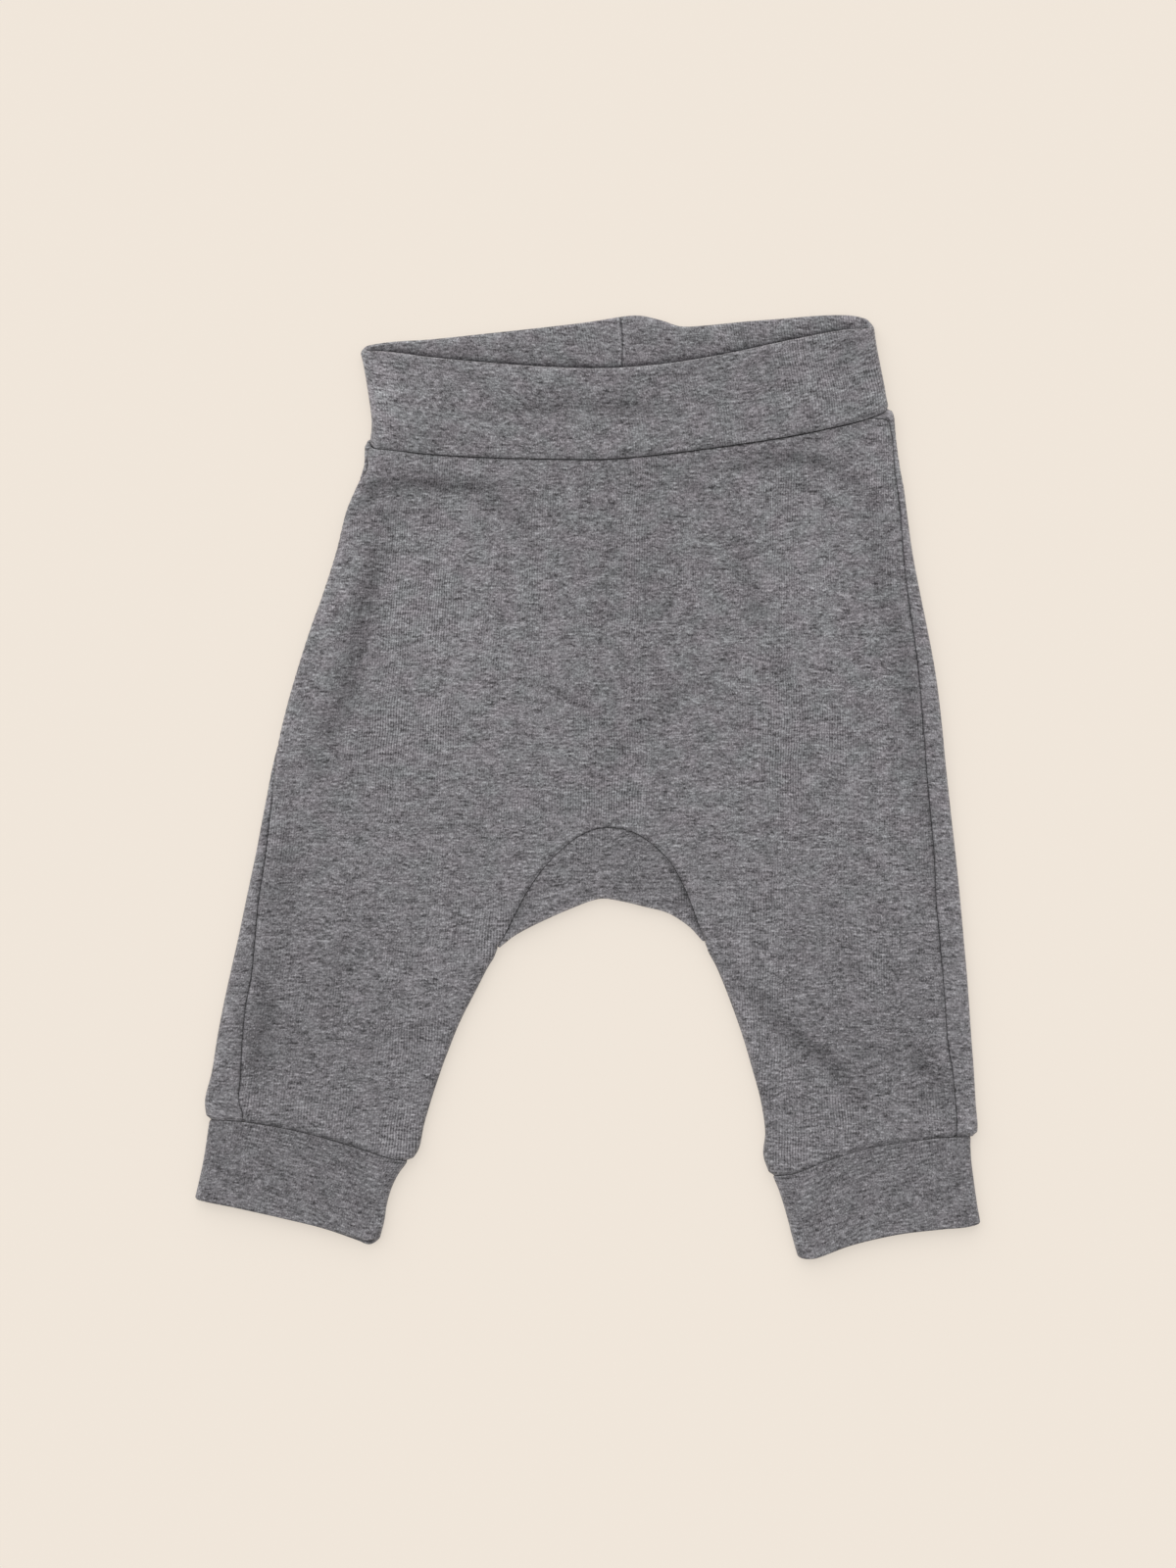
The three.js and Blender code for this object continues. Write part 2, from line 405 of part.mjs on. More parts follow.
// The front or back half, a list of rows of point numbers in the sheet.
function panelHalf(sheet, h, back) {
  const rows = [];
  STATIONS.forEach((v, r) => {
    const sec = section(h, v, back);
    const y = sec.o.y, side = h.seam(y);
    const out = [], points = [];
    const put = (o, i, share) => points.push([bend(h, sec, o, share), bend(h, sec, i, share)]);
    const outerFold = (s) => {
      const share = clamp(0.5 + s / QUARTER / 2, 0, 1);
      put(foldPoint(sec.o, sec.u, sec.cosOut, s, 0), foldPoint(sec.o, sec.u, sec.cosOut, s, JERSEY), share);
    };
    // strip beside the outer fold
    if (!back) {
      const from = side + SEAM_GAP / 2, to = Math.max(side, 0) + RIM_REACH;
      for (const f of [0, 0.14, 0.32, 0.58, 1]) outerFold(mix(from, to, f));
    } else {
      const from = side - SEAM_GAP / 2;
      [from, mix(from, QUARTER, 0.5), QUARTER, 1.6, 0, -1.6, -QUARTER, -RIM_REACH]
        .forEach((s, k) => outerFold(k === 7 ? s : Math.min(s, from - 0.3 * k)));
    }
    const share = back ? 0 : 1;
    const strip = back ? RIM_REACH : Math.max(side, 0) + RIM_REACH;
    const startAt = (strip - QUARTER + FOLD_R) / sec.cosOut;
    // strip beside the inner boundary
    const legs = r >= TIP_ROW;
    const under = -(QUARTER + INSEAM_UNDER);
    let ends;
    if (legs) {
      const passed = r - TIP_ROW;
      const seamAt = passed === 0 ? 0 : passed === 1 ? mix(0, under, 0.6) : under;
      const open = passed < 2 ? SEAM_GAP : SEAM_GAP / 2;   // wider where the seam crosses the fold
      const last = back ? seamAt - open : seamAt + open;
      ends = back ? [0, 0.4, 0.75, 1].map((f) => mix(-RIM_REACH, last, f))
        : [RIM_REACH, QUARTER, 1.6, 0, -1.6, -QUARTER, last].map((s, k) => Math.max(s, last + 0.3 * (6 - k)));
    } else {
      ends = back ? [8, 5, 2.5, 0] : [8, 6, 4.5, 3, 2, 1, 0];
    }
    const endLen = legs ? (RIM_REACH - QUARTER + FOLD_R) / sec.cosIn : ends[0];
    const mids = 6;
    for (let k = 1; k < mids; k++) {
      const t = mix(startAt, sec.len - endLen, k / mids);
      const x = sec.o.x + sec.u.x * t, yy = sec.o.y + sec.u.y * t;
      put(flatPoint(x, yy, !back, 0), flatPoint(x, yy, !back, JERSEY), share);
    }
    const back2 = { x: -sec.u.x, y: -sec.u.y };
    for (const s of ends) {
      if (legs) {
        const sh = share;
        put(foldPoint(sec.i, back2, sec.cosIn, s, 0), foldPoint(sec.i, back2, sec.cosIn, s, JERSEY), sh);
      } else {
        // keep half a gap from the arch, none from the centre line
        const gap = r > APEX_ROW ? SEAM_GAP / 2 : 0;
        const x = sec.i.x - sec.u.x * (s + gap), yy = sec.i.y - sec.u.y * (s + gap);
        put(flatPoint(x, yy, !back, 0), flatPoint(x, yy, !back, JERSEY), share);
      }
    }
    // above the arch the two halves share the centre line
    for (let k = 0; k < points.length; k++) {
      const [o, i] = points[k];
      if (k === points.length - 1 && r <= APEX_ROW) { o.x = CENTRE_X; i.x = CENTRE_X; }
      out.push(sheet.add(o, i));
    }
    rows.push(out);
  });
  return rows;
}

function panel(back) {
  const sheet = new Sheet();
  for (const h of HALVES) sheet.net(panelHalf(sheet, h, back), !h.right);
  return sheet.geometry();
}

// The gusset: from its front seam over the crotch fold to its back seam.
function gusset() {
  const sheet = new Sheet(), rows = [];
  // -1 the right tip, 0 the centre line, 1 the left tip; the tips themselves
  // would be too thin to close, so the gusset ends one step short of them
  const steps = ARCH_STEPS.slice(0, -1);
  const stations = [...steps.map((s) => -s).reverse(), 0, ...steps];
  for (const f of stations) {
    const at = (apex) => mix(apex, f < 0 ? 0 : 1, Math.abs(f));
    const F = frontArch(at(APEX_FRONT)), B = backArch(at(APEX_BACK));
    const C = crotchFold(f < 0 ? mix(0.5, 0, -f) : mix(0.5, 1, f));
    const way = (p) => { const l = Math.hypot(p.x - C.x, p.y - C.y); return { l, x: (p.x - C.x) / l, y: (p.y - C.y) / l }; };
    const uf = way(F), ub = way(B);
    const c0 = crotchFold(clamp((f < 0 ? mix(0.5, 0, -f) : mix(0.5, 1, f)) - 0.01, 0, 1));
    const c1 = crotchFold(clamp((f < 0 ? mix(0.5, 0, -f) : mix(0.5, 1, f)) + 0.01, 0, 1));
    const cl = Math.hypot(c1.x - c0.x, c1.y - c0.y), nx = -(c1.y - c0.y) / cl, ny = (c1.x - c0.x) / cl;
    const cosF = clamp(Math.abs(uf.x * nx + uf.y * ny), 0.5, 1), cosB = clamp(Math.abs(ub.x * nx + ub.y * ny), 0.5, 1);
    const reach = (l, cos) => {
      const d = Math.max(l - 1.5 * SEAM_GAP, 0.05) * cos;
      return d >= FOLD_R ? d - FOLD_R + QUARTER : Math.acos(1 - d / FOLD_R) * FOLD_R;
    };
    const sf = reach(uf.l, cosF), sb = reach(ub.l, cosB);
    const row = [];
    const q = Math.min(QUARTER, sf * 0.8), p = Math.min(QUARTER, sb * 0.8);
    for (const s of [sf, mix(sf, q, 0.5), q, q * 0.5, 0]) {
      row.push(sheet.add(foldPoint(C, uf, cosF, s, 0), foldPoint(C, uf, cosF, s, JERSEY)));
    }
    for (const s of [-p * 0.5, -p, mix(-p, -sb, 0.5), -sb]) {
      row.push(sheet.add(foldPoint(C, ub, cosB, s, 0), foldPoint(C, ub, cosB, s, JERSEY)));
    }
    rows.push(row);
  }
  sheet.net(rows, false);
  return sheet.geometry();
}

// ---------------------------------------------------------------- tubes
// A flattened tube: ring(k, v, share) gives the plan point of place k across
// (0 right side fold .. 1 left side fold) at station v, share 1 front .. 0 back.
function tube(rowsAt, plan, thick, wall, r, across) {
  const sheet = new Sheet(), rows = [];
  const mid = thick / 2;
  const turns = [60, 30, 0, -30, -60].map((d) => d * Math.PI / 180);
  for (const v of rowsAt) {
    const row = [];
    const put = (t, share, a, inset) => {
      // a: angle round the fold (null on the flats), inset: way in from the fold
      const make = (deep) => {
        const d = a === null ? inset : r - (r - deep) * Math.cos(a);
        const z = a === null ? (share > 0.5 ? thick - deep : deep) : mid + (mid - deep) * Math.sin(a);
        const p = plan(t, v, share, d);
        return new THREE.Vector3(p.x, p.y, z);
      };
      row.push(sheet.add(make(0), make(wall)));
    };
    for (let k = 0; k <= across; k++) put(k / across, 1, null, r);
    for (const a of turns) put(1, (1 + Math.sin(a)) / 2, a, 0);
    for (let k = across; k >= 0; k--) put(k / across, 0, null, r);
    for (const a of [...turns].reverse()) put(0, (1 + Math.sin(a)) / 2, a, 0);
    rows.push(row);
  }
  sheet.net(rows, false, true);
  return sheet.geometry();
}

function waistband() {
  const right = read(BAND_SIDES, 'at', 'right'), left = read(BAND_SIDES, 'at', 'left');
  const plan = (t, v, share, d) => {
    const x = mix(right(v) + d, left(v) - d, t);
    const seam = mix(seamBackY(x), seamFrontY(x), share), top = mix(topBackY(x), topFrontY(x), share);
    return { x, y: mix(seam + TUBE_GAP, top, v) };
  };
  return tube([0, 0.35, 0.7, 1], plan, BAND_THICK, BAND_WALL, BAND_R, 13);
}

function cuff(side) {
  const right = side < 0, hx = right ? 'rightX' : 'leftX', hy = right ? 'rightY' : 'leftY';
  const topX = read(HEMS, 'at', hx), topY = read(HEMS, 'at', hy);
  const endX = read(CUFF_ENDS, 'at', hx), endY = read(CUFF_ENDS, 'at', hy);
  const endBackY = right ? read(CUFF_ENDS, 'at', 'rightBackY') : endY;
  const bowOut = right ? CUFF_BOW.rightOuter : CUFF_BOW.leftOuter;
  const bowIn = right ? CUFF_BOW.rightInner : CUFF_BOW.leftInner;
  const plan = (t, v, share, d) => {
    const width = Math.hypot(mix(topX(1) - topX(0), endX(1) - endX(0), v), mix(topY(1) - topY(0), endY(1) - endY(0), v));
    const f = mix(d / width, 1 - d / width, t);
    const bow = 4 * v * (1 - v) * mix(bowOut, bowIn, f);
    const x = mix(topX(f), endX(f), v) + bow;
    const y = mix(topY(f) - TUBE_GAP, mix(endBackY(f), endY(f), share), v);
    return { x, y };
  };
  return tube([0, 0.5, 1], plan, CUFF_THICK, CUFF_WALL, CUFF_R, 10);
}

// ---------------------------------------------------------------- garment
const heather = (shade) => new THREE.MeshStandardMaterial({
  color: new THREE.Color().setRGB(0.478 * shade, 0.471 * shade, 0.482 * shade, THREE.SRGBColorSpace),
  roughness: 0.92, metalness: 0,
});
const pants = new THREE.Group();
function node(name, geometry, shade) {
  const mesh = new THREE.Mesh(geometry, heather(shade));
  mesh.name = name;
  pants.add(mesh);
}
node('front_panel', panel(false), 1.0);
node('back_panel', panel(true), 0.98);
node('gusset', gusset(), 0.95);
node('waistband', waistband(), 1.0);
node('cuff_right', cuff(-1), 0.94);
node('cuff_left', cuff(1), 0.94);

// The origin goes under the middle of the whole garment.
const box = new THREE.Box3().setFromObject(pants);
pants.position.set(-(box.min.x + box.max.x) / 2, -(box.min.y + box.max.y) / 2, 0);

export default pants;
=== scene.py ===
# Baby harem pants in grey heather jersey, lying flat, seen from straight above.
# The shapes repeat the sizes of part.mjs, in millimetres, and are turned to metres at the end.
import bpy, math
import numpy as np
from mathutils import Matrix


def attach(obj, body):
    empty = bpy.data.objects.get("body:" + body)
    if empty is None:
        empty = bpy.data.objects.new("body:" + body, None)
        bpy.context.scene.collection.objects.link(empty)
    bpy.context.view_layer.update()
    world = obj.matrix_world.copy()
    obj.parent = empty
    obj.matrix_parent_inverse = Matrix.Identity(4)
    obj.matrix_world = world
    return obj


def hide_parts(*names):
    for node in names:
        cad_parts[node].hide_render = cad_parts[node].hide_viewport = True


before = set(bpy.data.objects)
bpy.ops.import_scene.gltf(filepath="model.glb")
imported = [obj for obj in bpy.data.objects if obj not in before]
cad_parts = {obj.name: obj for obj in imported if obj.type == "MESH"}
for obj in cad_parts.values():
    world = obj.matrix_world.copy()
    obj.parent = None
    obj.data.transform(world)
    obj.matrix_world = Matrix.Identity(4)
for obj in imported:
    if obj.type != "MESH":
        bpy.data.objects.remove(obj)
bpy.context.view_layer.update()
scene = bpy.context.scene
MM = 0.001
SHIFT = np.array([-0.15, -0.105, 0.0])     # part.mjs centres the whole garment by this much

# ------------------------------------------------------------------ sizes
JERSEY = 1.0          # one layer of cloth
BAND_WALL = 2.2       # waistband, folded double
CUFF_WALL = 2.0       # cuff, folded double
SEAM_GAP = 0.16       # slit at the bottom of a seam's groove
FOLD_R = 2.3          # rounding of a side fold
FOLD_MID = 2.3        # height of its outermost line
BODY_THICK = 4.4
FOLD_PUFF, FOLD_PUFF_REACH = 0.45, 8.0
BAND_THICK, BAND_R = 5.2, 2.6
CUFF_THICK, CUFF_R = 5.0, 2.5
CENTRE_X = 7.5
INSEAM_UNDER = 1.4
RIM_REACH = 8.0
V_APEX, V_TIP = 0.48, 0.70
QUARTER = math.pi * FOLD_R / 2
COARSE = 3            # the hidden inner face has one row for so many outer rows

# ------------------------------------------------------------------ tables
def table(names, rows):
    return {n: np.array([r[i] for r in rows], float) for i, n in enumerate(names.split())}

BODY = table("y rightFold rightSeam leftSeam leftFold", [
    (136.4, -78.2, 1.4, 7.0, 108.9), (134.9, -78.2, 1.4, 4.6, 109.9), (133.9, -78.2, 1.4, 2.7, 110.3), (131.6, -78.2, 1.4, 1.6, 110.8),
    (129.2, -78.2, 1.4, 1.3, 111.0), (124.4, -79.0, 1.3, 1.1, 111.4), (122.1, -79.1, 1.2, 1.2, 111.7), (120.3, -79.5, 0.7, 1.3, 111.9),
    (117.6, -79.7, 0.5, 1.5, 112.3), (114.6, -79.9, 0.8, 1.8, 112.8), (112.0, -80.6, 0.5, 2.1, 113.3), (107.0, -82.7, -0.4, 2.3, 114.2),
    (98.0, -86.5, -1.0, 2.5, 115.4), (84.0, -90.1, -1.0, 3.5, 117.4), (70.0, -94.6, -1.0, 4.6, 120.05),
    (55.0, -100.0, -0.8, 5.4, 123.1), (40.0, -104.8, -0.7, 6.2, 125.8), (24.0, -109.2, -0.6, 6.8, 127.8),
    (8.0, -112.8, 0.6, 7.1, 129.35), (-8.0, -116.0, 2.3, 7.4, 131.05), (-24.0, -119.1, 3.6, 7.8, 132.85),
    (-40.0, -122.5, 4.5, 8.8, 134.5), (-54.0, -125.4, 6.1, 8.8, 135.75), (-66.0, -128.1, 7.6, 8.8, 136.85),
    (-78.0, -130.7, 8.1, 8.8, 137.75), (-90.0, -133.0, 9.2, 8.7, 138.55), (-102.0, -134.9, 10.5, 7.8, 139.45),
    (-112.0, -137.0, 11.8, 7.3, 140.0), (-119.7, -135.9, 11.6, 6.8, 140.05), (-125.7, -135.9, 11.6, 6.4, 139.5)])
RIGHT_INNER = table("y x", [(-58.3, -32.0), (-65.4, -35.9), (-73.1, -39.8), (-84.4, -45.6), (-97.9, -51.0),
    (-109.5, -55.0), (-120.1, -58.2), (-128.9, -60.7), (-134.6, -64.4)])
LEFT_INNER = table("y x", [(-56.2, 42.5), (-65.4, 47.1), (-77.7, 52.0), (-90.8, 56.6), (-103.1, 60.2),
    (-113.7, 62.9), (-124.3, 64.4), (-132.4, 64.0), (-139.9, 67.0)])
FRONT_ARCH = table("x y", [(-32.0, -58.3), (-27.4, -48.8), (-21.0, -36.8), (-13.3, -26.5), (-2.3, -17.2),
    (7.5, -14.4), (18.1, -16.7), (28.7, -25.1), (34.4, -34.3), (38.6, -44.5), (42.5, -56.2)])
CROTCH_FOLD = table("x y", [(-32.0, -58.3), (-25.6, -53.5), (-16.8, -48.9), (-5.5, -43.9), (4.7, -40.4),
    (12.1, -41.2), (20.6, -43.2), (29.1, -45.5), (36.5, -50.1), (42.5, -56.2)])
BACK_ARCH = table("x y", [(-32.0, -58.3), (-25.0, -47.5), (-16.5, -35.5), (-6.0, -26.5), (7.5, -22.5),
    (20.5, -26.0), (30.5, -35.0), (37.5, -45.5), (42.5, -56.2)])
WAIST = table("x seamFront seamBack topFront", [
    (-82.0, 122.2, 126.4, 156.6), (-78.8, 122.2, 126.2, 157.7), (-70.1, 121.4, 124.9, 157.3),
    (-56.0, 119.9, 126.7, 155.4), (-34.8, 118.7, 130.2, 153.4), (-13.6, 118.2, 133.4, 151.9),
    (7.6, 118.2, 135.4, 151.5), (28.7, 120.1, 136.2, 153.1), (49.9, 122.8, 136.2, 156.6),
    (71.1, 126.0, 135.8, 161.1), (92.3, 130.3, 135.5, 165.2), (99.0, 132.0, 135.6, 165.6), (102.9, 133.2, 135.9, 165.7), (106.5, 134.7, 136.4, 165.2), (110.1, 136.5, 136.9, 164.3)])
BACK_TOP = table("x y", [(-82.0, 157.5), (-78.8, 159.0), (-70.1, 160.4), (-56.0, 161.3), (-34.8, 163.5), (-13.6, 165.8),
    (0.5, 167.5), (14.6, 169.7), (19.9, 169.8), (27.0, 168.2), (34.0, 166.0), (42.9, 166.3), (57.0, 167.7), (71.1, 168.8),
    (85.2, 169.9), (95.1, 169.9), (100.7, 168.7), (105.0, 166.5), (110.1, 164.6)])
BAND_SIDES = table("at right left", [(0.0, -77.9, 108.7), (0.15, -77.4, 107.9), (0.3, -77.6, 107.3), (0.6, -79.0, 105.6), (0.85, -80.3, 104.2), (1.0, -81.3, 103.6)])
HEMS = table("at rightX rightY leftX leftY", [
    (0.00, -135.9, -119.7, 139.6, -125.7), (0.15, -125.0, -120.3, 128.6, -126.2), (0.35, -110.4, -122.5, 114.0, -128.0),
    (0.55, -96.0, -125.9, 99.6, -130.5), (0.75, -81.6, -130.2, 85.4, -135.1), (0.90, -71.0, -133.6, 74.4, -139.2),
    (1.00, -64.4, -134.6, 67.0, -139.9)])
CUFF_ENDS = table("at rightX rightY rightBackY leftX leftY", [
    (0.00, -140.9, -148.4, -148.4, 141.5, -157.3), (0.08, -135.5, -149.7, -149.7, 135.9, -158.6), (0.20, -127.5, -151.3, -151.5, 127.8, -159.3),
    (0.45, -111.0, -155.0, -155.2, 111.3, -161.3), (0.70, -94.6, -159.0, -159.5, 94.8, -165.2),
    (0.88, -82.8, -162.3, -163.6, 83.0, -169.6), (0.94, -79.0, -163.2, -165.0, 79.4, -170.0), (1.00, -75.0, -162.3, -163.6, 76.0, -169.4)])
# How far each side of a cuff bows out, from its seam to its free edge.
CUFF_BOW = table("at rightOuter rightInner leftOuter leftInner", [
    (0.0, 0.0, 0.0, -1.2, 0.0), (0.07, 0.1, -0.6, -1.5, 0.25), (0.15, 0.2, -1.4, -1.6, 0.5), (0.30, 0.4, -2.0, -1.6, 0.6), (0.45, 0.5, -1.9, -1.3, 0.55),
    (0.60, 0.5, -1.3, -1.0, 0.35), (0.80, 0.3, 0.0, -0.5, 0.0), (1.00, 0.0, 0.7, 0.2, -0.2)])

# Creases: a line through three or more points, its height (below 0: a trough) and half width.
# The upper layer's, from waist to hem.
TOP_CREASES = [
    ("right waist arc",      -1.30, 3.6, [(-84, 98), (-79, 103), (-72, 107.5), (-64, 109), (-54, 108.5), (-44, 107.5), (-35, 106.5), (-27, 103)]),
    ("right waist roll",      0.30, 3.2, [(-72, 115.5), (-58, 115), (-44, 114), (-30, 113)]),
    ("right edge trough",    -1.55, 4.2, [(-69, 103), (-72, 90), (-75, 78), (-78, 68), (-80, 57), (-83, 45), (-86, 33), (-91, 20), (-95, 6)]),
    ("right edge rim",        0.60, 3.4, [(-80, 92), (-85, 76), (-90, 60), (-94, 44), (-99, 28), (-104, 8)]),
    ("right arc tail",       -0.95, 3.4, [(-38, 105), (-30, 100), (-23, 93), (-18, 85)]),
    ("middle waist dip",     -0.45, 5.0, [(6, 112), (18, 108), (30, 104)]),
    ("middle waist tail",    -0.75, 3.0, [(28, 115), (37, 109), (46, 101)]),
    ("left waist trough",    -1.10, 4.0, [(46, 115), (60, 117), (74, 118.5), (86, 116), (95, 110), (102, 102)]),
    ("left waist tail",      -0.80, 3.0, [(66, 107), (76, 108.5), (87, 103)]),
    ("left waist roll",       0.45, 3.2, [(97, 121), (103, 115), (107, 106)]),
    ("left edge trough",     -1.15, 4.2, [(103, 104), (105, 90), (107, 76), (110, 62), (113, 50), (117, 36), (119, 20), (121, 2), (124, -20), (126, -42)]),
    ("left edge rim",         0.45, 3.2, [(109, 92), (113, 70), (118, 48), (122, 24), (125, 0)]),
    ("left hip diagonal",    -1.00, 3.2, [(50, 97), (55, 86), (58, 75), (61, 64), (66, 54)]),
    ("left hip spot",        -1.05, 3.0, [(66, 47), (70, 41), (74, 35)]),
    ("middle upper dip",     -0.45, 4.0, [(20, 88), (22, 76), (26, 62), (25, 50)]),
    ("middle stem",          -0.40, 4.5, [(24, 28), (15, 18), (8, 8), (4, -4)]),
    ("middle right arm",     -0.60, 3.6, [(-12, 35), (-4, 30), (3, 23), (11, 15)]),
    ("middle left arm",      -0.60, 3.6, [(43, 40), (35, 34), (28, 27), (19, 18)]),
    ("right seat dip",       -0.35, 4.0, [(-50, -10), (-40, -18), (-34, -30)]),
    ("left knee trough",     -1.40, 3.4, [(50, -66), (57, -72), (64, -79), (70, -86), (77, -92), (85, -98), (94, -107), (100, -114)]),
    ("left knee ridge",       0.70, 4.0, [(52, -80), (58, -86), (64, -94), (68, -106)]),
    ("left thigh dip",       -0.30, 4.5, [(84, -52), (92, -62), (100, -70)]),
    ("left shin trough",     -0.95, 4.0, [(112, -92), (121, -101), (127, -109), (132, -118)]),
    ("left shin dip",        -0.60, 4.0, [(98, -92), (105, -100), (110, -106)]),
    ("right thigh dip",      -0.85, 4.2, [(-104, -22), (-107, -36), (-111, -50)]),
    ("right shin trough",    -1.35, 4.2, [(-116, -70), (-115, -84), (-117, -96), (-119, -110)]),
    ("right shin rim",        0.40, 3.0, [(-126, -76), (-128, -92), (-130, -106)]),
    ("right calf dip",       -0.80, 4.0, [(-52, -84), (-62, -90), (-74, -92)]),
    ("right knee dip",       -0.25, 5.0, [(-80, -62), (-90, -74), (-98, -90)]),
]
# The under layer's, where it lifts off the surface.
UNDER_CREASES = [
    ("seat lift",             1.0, 7.0, [(-44, 58), (-14, 34), (18, 24), (58, 38)]),
    ("right back lift",       0.8, 5.0, [(-84, 74), (-90, 34), (-99, -8)]),
    ("left back lift",        0.8, 5.0, [(103, 84), (110, 44), (117, -6)]),
    ("right knee lift",       0.7, 5.0, [(-54, -76), (-76, -86), (-96, -102)]),
    ("left knee lift",        0.8, 5.0, [(60, -70), (80, -92), (92, -112)]),
    ("waist lift",            0.6, 5.0, [(-44, 112), (10, 118), (60, 116)]),
    ("right hip lift",        0.5, 6.0, [(-60, 100), (-46, 84), (-40, 70)]),
    ("left hip lift",         0.5, 6.0, [(84, 96), (72, 78), (68, 60)]),
]
# The waistband's, in front and behind.
BAND_CREASES = [
    ("middle dip",           -0.80, 3.8, [(-36, 135), (-20, 136), (0, 136), (14, 135.5), (30, 137)]),
    ("middle dip deep",      -0.55, 3.0, [(4, 135.5), (12, 136), (24, 136)]),
    ("right swell",           0.75, 4.2, [(-36, 145), (-24, 146), (-8, 145)]),
    ("right low dip",        -0.75, 3.6, [(-74, 125), (-60, 124), (-44, 123)]),
    ("left dip",             -0.35, 4.0, [(58, 146), (70, 145), (82, 142)]),
    ("left side dip",        -0.60, 4.0, [(92, 162), (95, 153), (99, 144)]),
    ("left low swell",        0.30, 4.0, [(60, 134), (74, 137), (88, 140)]),
]
BACK_BAND_CREASES = [
    ("right swell",           0.40, 5.0, [(-50, 158), (-42, 148), (-38, 138)]),
    ("middle swell",          0.35, 5.0, [(-8, 162), (-6, 150), (-10, 140)]),
    ("left swell",            0.40, 5.0, [(52, 165), (56, 152), (50, 142)]),
]
# Painted light and shade in broad patches: centre, reach across and along, share lighter.
PAINTED_PATCHES = [(-48, 60, 30, 46, 0.055), (80, 66, 20, 38, 0.045), (14, 84, 18, 40, -0.02), (-104, -84, 40, 48, -0.055), (104, -92, 36, 42, -0.06),
         (-58, 106, 26, 8, -0.05), (-60, 142, 22, 14, 0.02), (-75, 142, 8, 16, 0.16), (8, 137, 34, 6, -0.02), (88, 152, 14, 9, 0.02)]

# ------------------------------------------------------------------ curves
class Curve:
    """Smooth reading of a table column: cubic, with the mean slope of its neighbours at each row."""
    def __init__(self, k, c):
        o = np.argsort(k); self.k = np.asarray(k, float)[o]; self.c = np.asarray(c, float)[o]
        n = len(self.k); a = np.maximum(np.arange(n) - 1, 0); b = np.minimum(np.arange(n) + 1, n - 1)
        self.m = (self.c[b] - self.c[a]) / (self.k[b] - self.k[a])
    def __call__(self, t):
        t = np.asarray(t, float); k, c, m = self.k, self.c, self.m
        i = np.clip(np.searchsorted(k, t, side="right") - 1, 0, len(k) - 2)
        h = k[i + 1] - k[i]; s = (t - k[i]) / h; s2 = s * s; s3 = s2 * s
        v = (c[i] * (2 * s3 - 3 * s2 + 1) + c[i + 1] * (3 * s2 - 2 * s3)
             + m[i] * h * (s3 - 2 * s2 + s) + m[i + 1] * h * (s3 - s2))
        v = np.where(t < k[0], c[0] + m[0] * (t - k[0]) * 0.5, v)
        return np.where(t > k[-1], c[-1] + m[-1] * (t - k[-1]) * 0.5, v)

def read(tab, key, column):
    return Curve(tab[key], tab[column])

def along(tab):
    d = np.concatenate([[0], np.cumsum(np.hypot(np.diff(tab["x"]), np.diff(tab["y"])))])
    x, y = Curve(d, tab["x"]), Curve(d, tab["y"])
    return lambda t: np.stack([x(np.asarray(t) * d[-1]), y(np.asarray(t) * d[-1])], -1)

def mix(a, b, t):
    return a + (b - a) * t

# The lens sees what stands higher a little further out: the seams on top are drawn in by as much.
WAIST["seamFront"] -= 0.42; WAIST["topFront"] -= 0.95; FRONT_ARCH["y"][1:-1] -= 0.25

seam_front, seam_back = read(WAIST, "x", "seamFront"), read(WAIST, "x", "seamBack")
top_front, top_back = read(WAIST, "x", "topFront"), read(BACK_TOP, "x", "y")
front_arch, crotch_fold, back_arch = along(FRONT_ARCH), along(CROTCH_FOLD), along(BACK_ARCH)

def apex_of(arch):
    lo, hi = 0.0, 1.0
    for _ in range(40):
        m = (lo + hi) / 2
        if arch(m)[0] < CENTRE_X: lo = m
        else: hi = m
    return lo
APEX_FRONT, APEX_BACK = apex_of(front_arch), apex_of(back_arch)

def round_fold(d):
    """How far round a side fold a seam lies, from how far in from the outline it is."""
    return np.where(d <= 0, d, np.where(d < FOLD_R, FOLD_R * np.arccos(np.clip(1 - d / FOLD_R, -1, 1)), d - FOLD_R + QUARTER))

class Half:
    """One leg with its half of the body. side -1: the wearer's right, at -X."""
    def __init__(self, side):
        self.side, r = side, side < 0
        n = "right" if r else "left"
        self.fold, seam_in = read(BODY, "y", n + "Fold"), read(BODY, "y", n + "Seam")
        self.seam = lambda y: round_fold(seam_in(y))
        t = RIGHT_INNER if r else LEFT_INNER
        self.inner, self.y_tip, self.y_in = read(t, "y", "x"), t["y"][0], t["y"][-1]
        self.hem_x, self.hem_y = read(HEMS, "at", n + "X"), read(HEMS, "at", n + "Y")
        self.y_top = float(seam_front(-78.8 if r else 110.1)); self.y_hem = float(self.hem_y(0.0))
        self.end = 0.0 if r else 1.0
    def outer(self, v):
        y = mix(self.y_top, self.y_hem, v); return np.stack([self.fold(y), y], -1)
    def inner_fold(self, v):
        y = mix(self.y_tip, self.y_in, (np.asarray(v) - V_TIP) / (1 - V_TIP)); return np.stack([self.inner(y), y], -1)
    def boundary(self, v, back):
        v = np.asarray(v, float)
        apex, arch = (APEX_BACK, back_arch) if back else (APEX_FRONT, front_arch)
        top = float((seam_back if back else seam_front)(CENTRE_X))
        y0 = arch(apex)[1]
        line = np.stack([np.full_like(v, CENTRE_X), mix(top, y0, v / V_APEX)], -1)
        s = np.clip((v - V_APEX) / (V_TIP - V_APEX), 0, 1)
        curve = arch(mix(apex, self.end, s))
        leg = self.inner_fold(v)
        return np.where((v <= V_APEX)[..., None], line, np.where((v < V_TIP)[..., None], curve, leg))
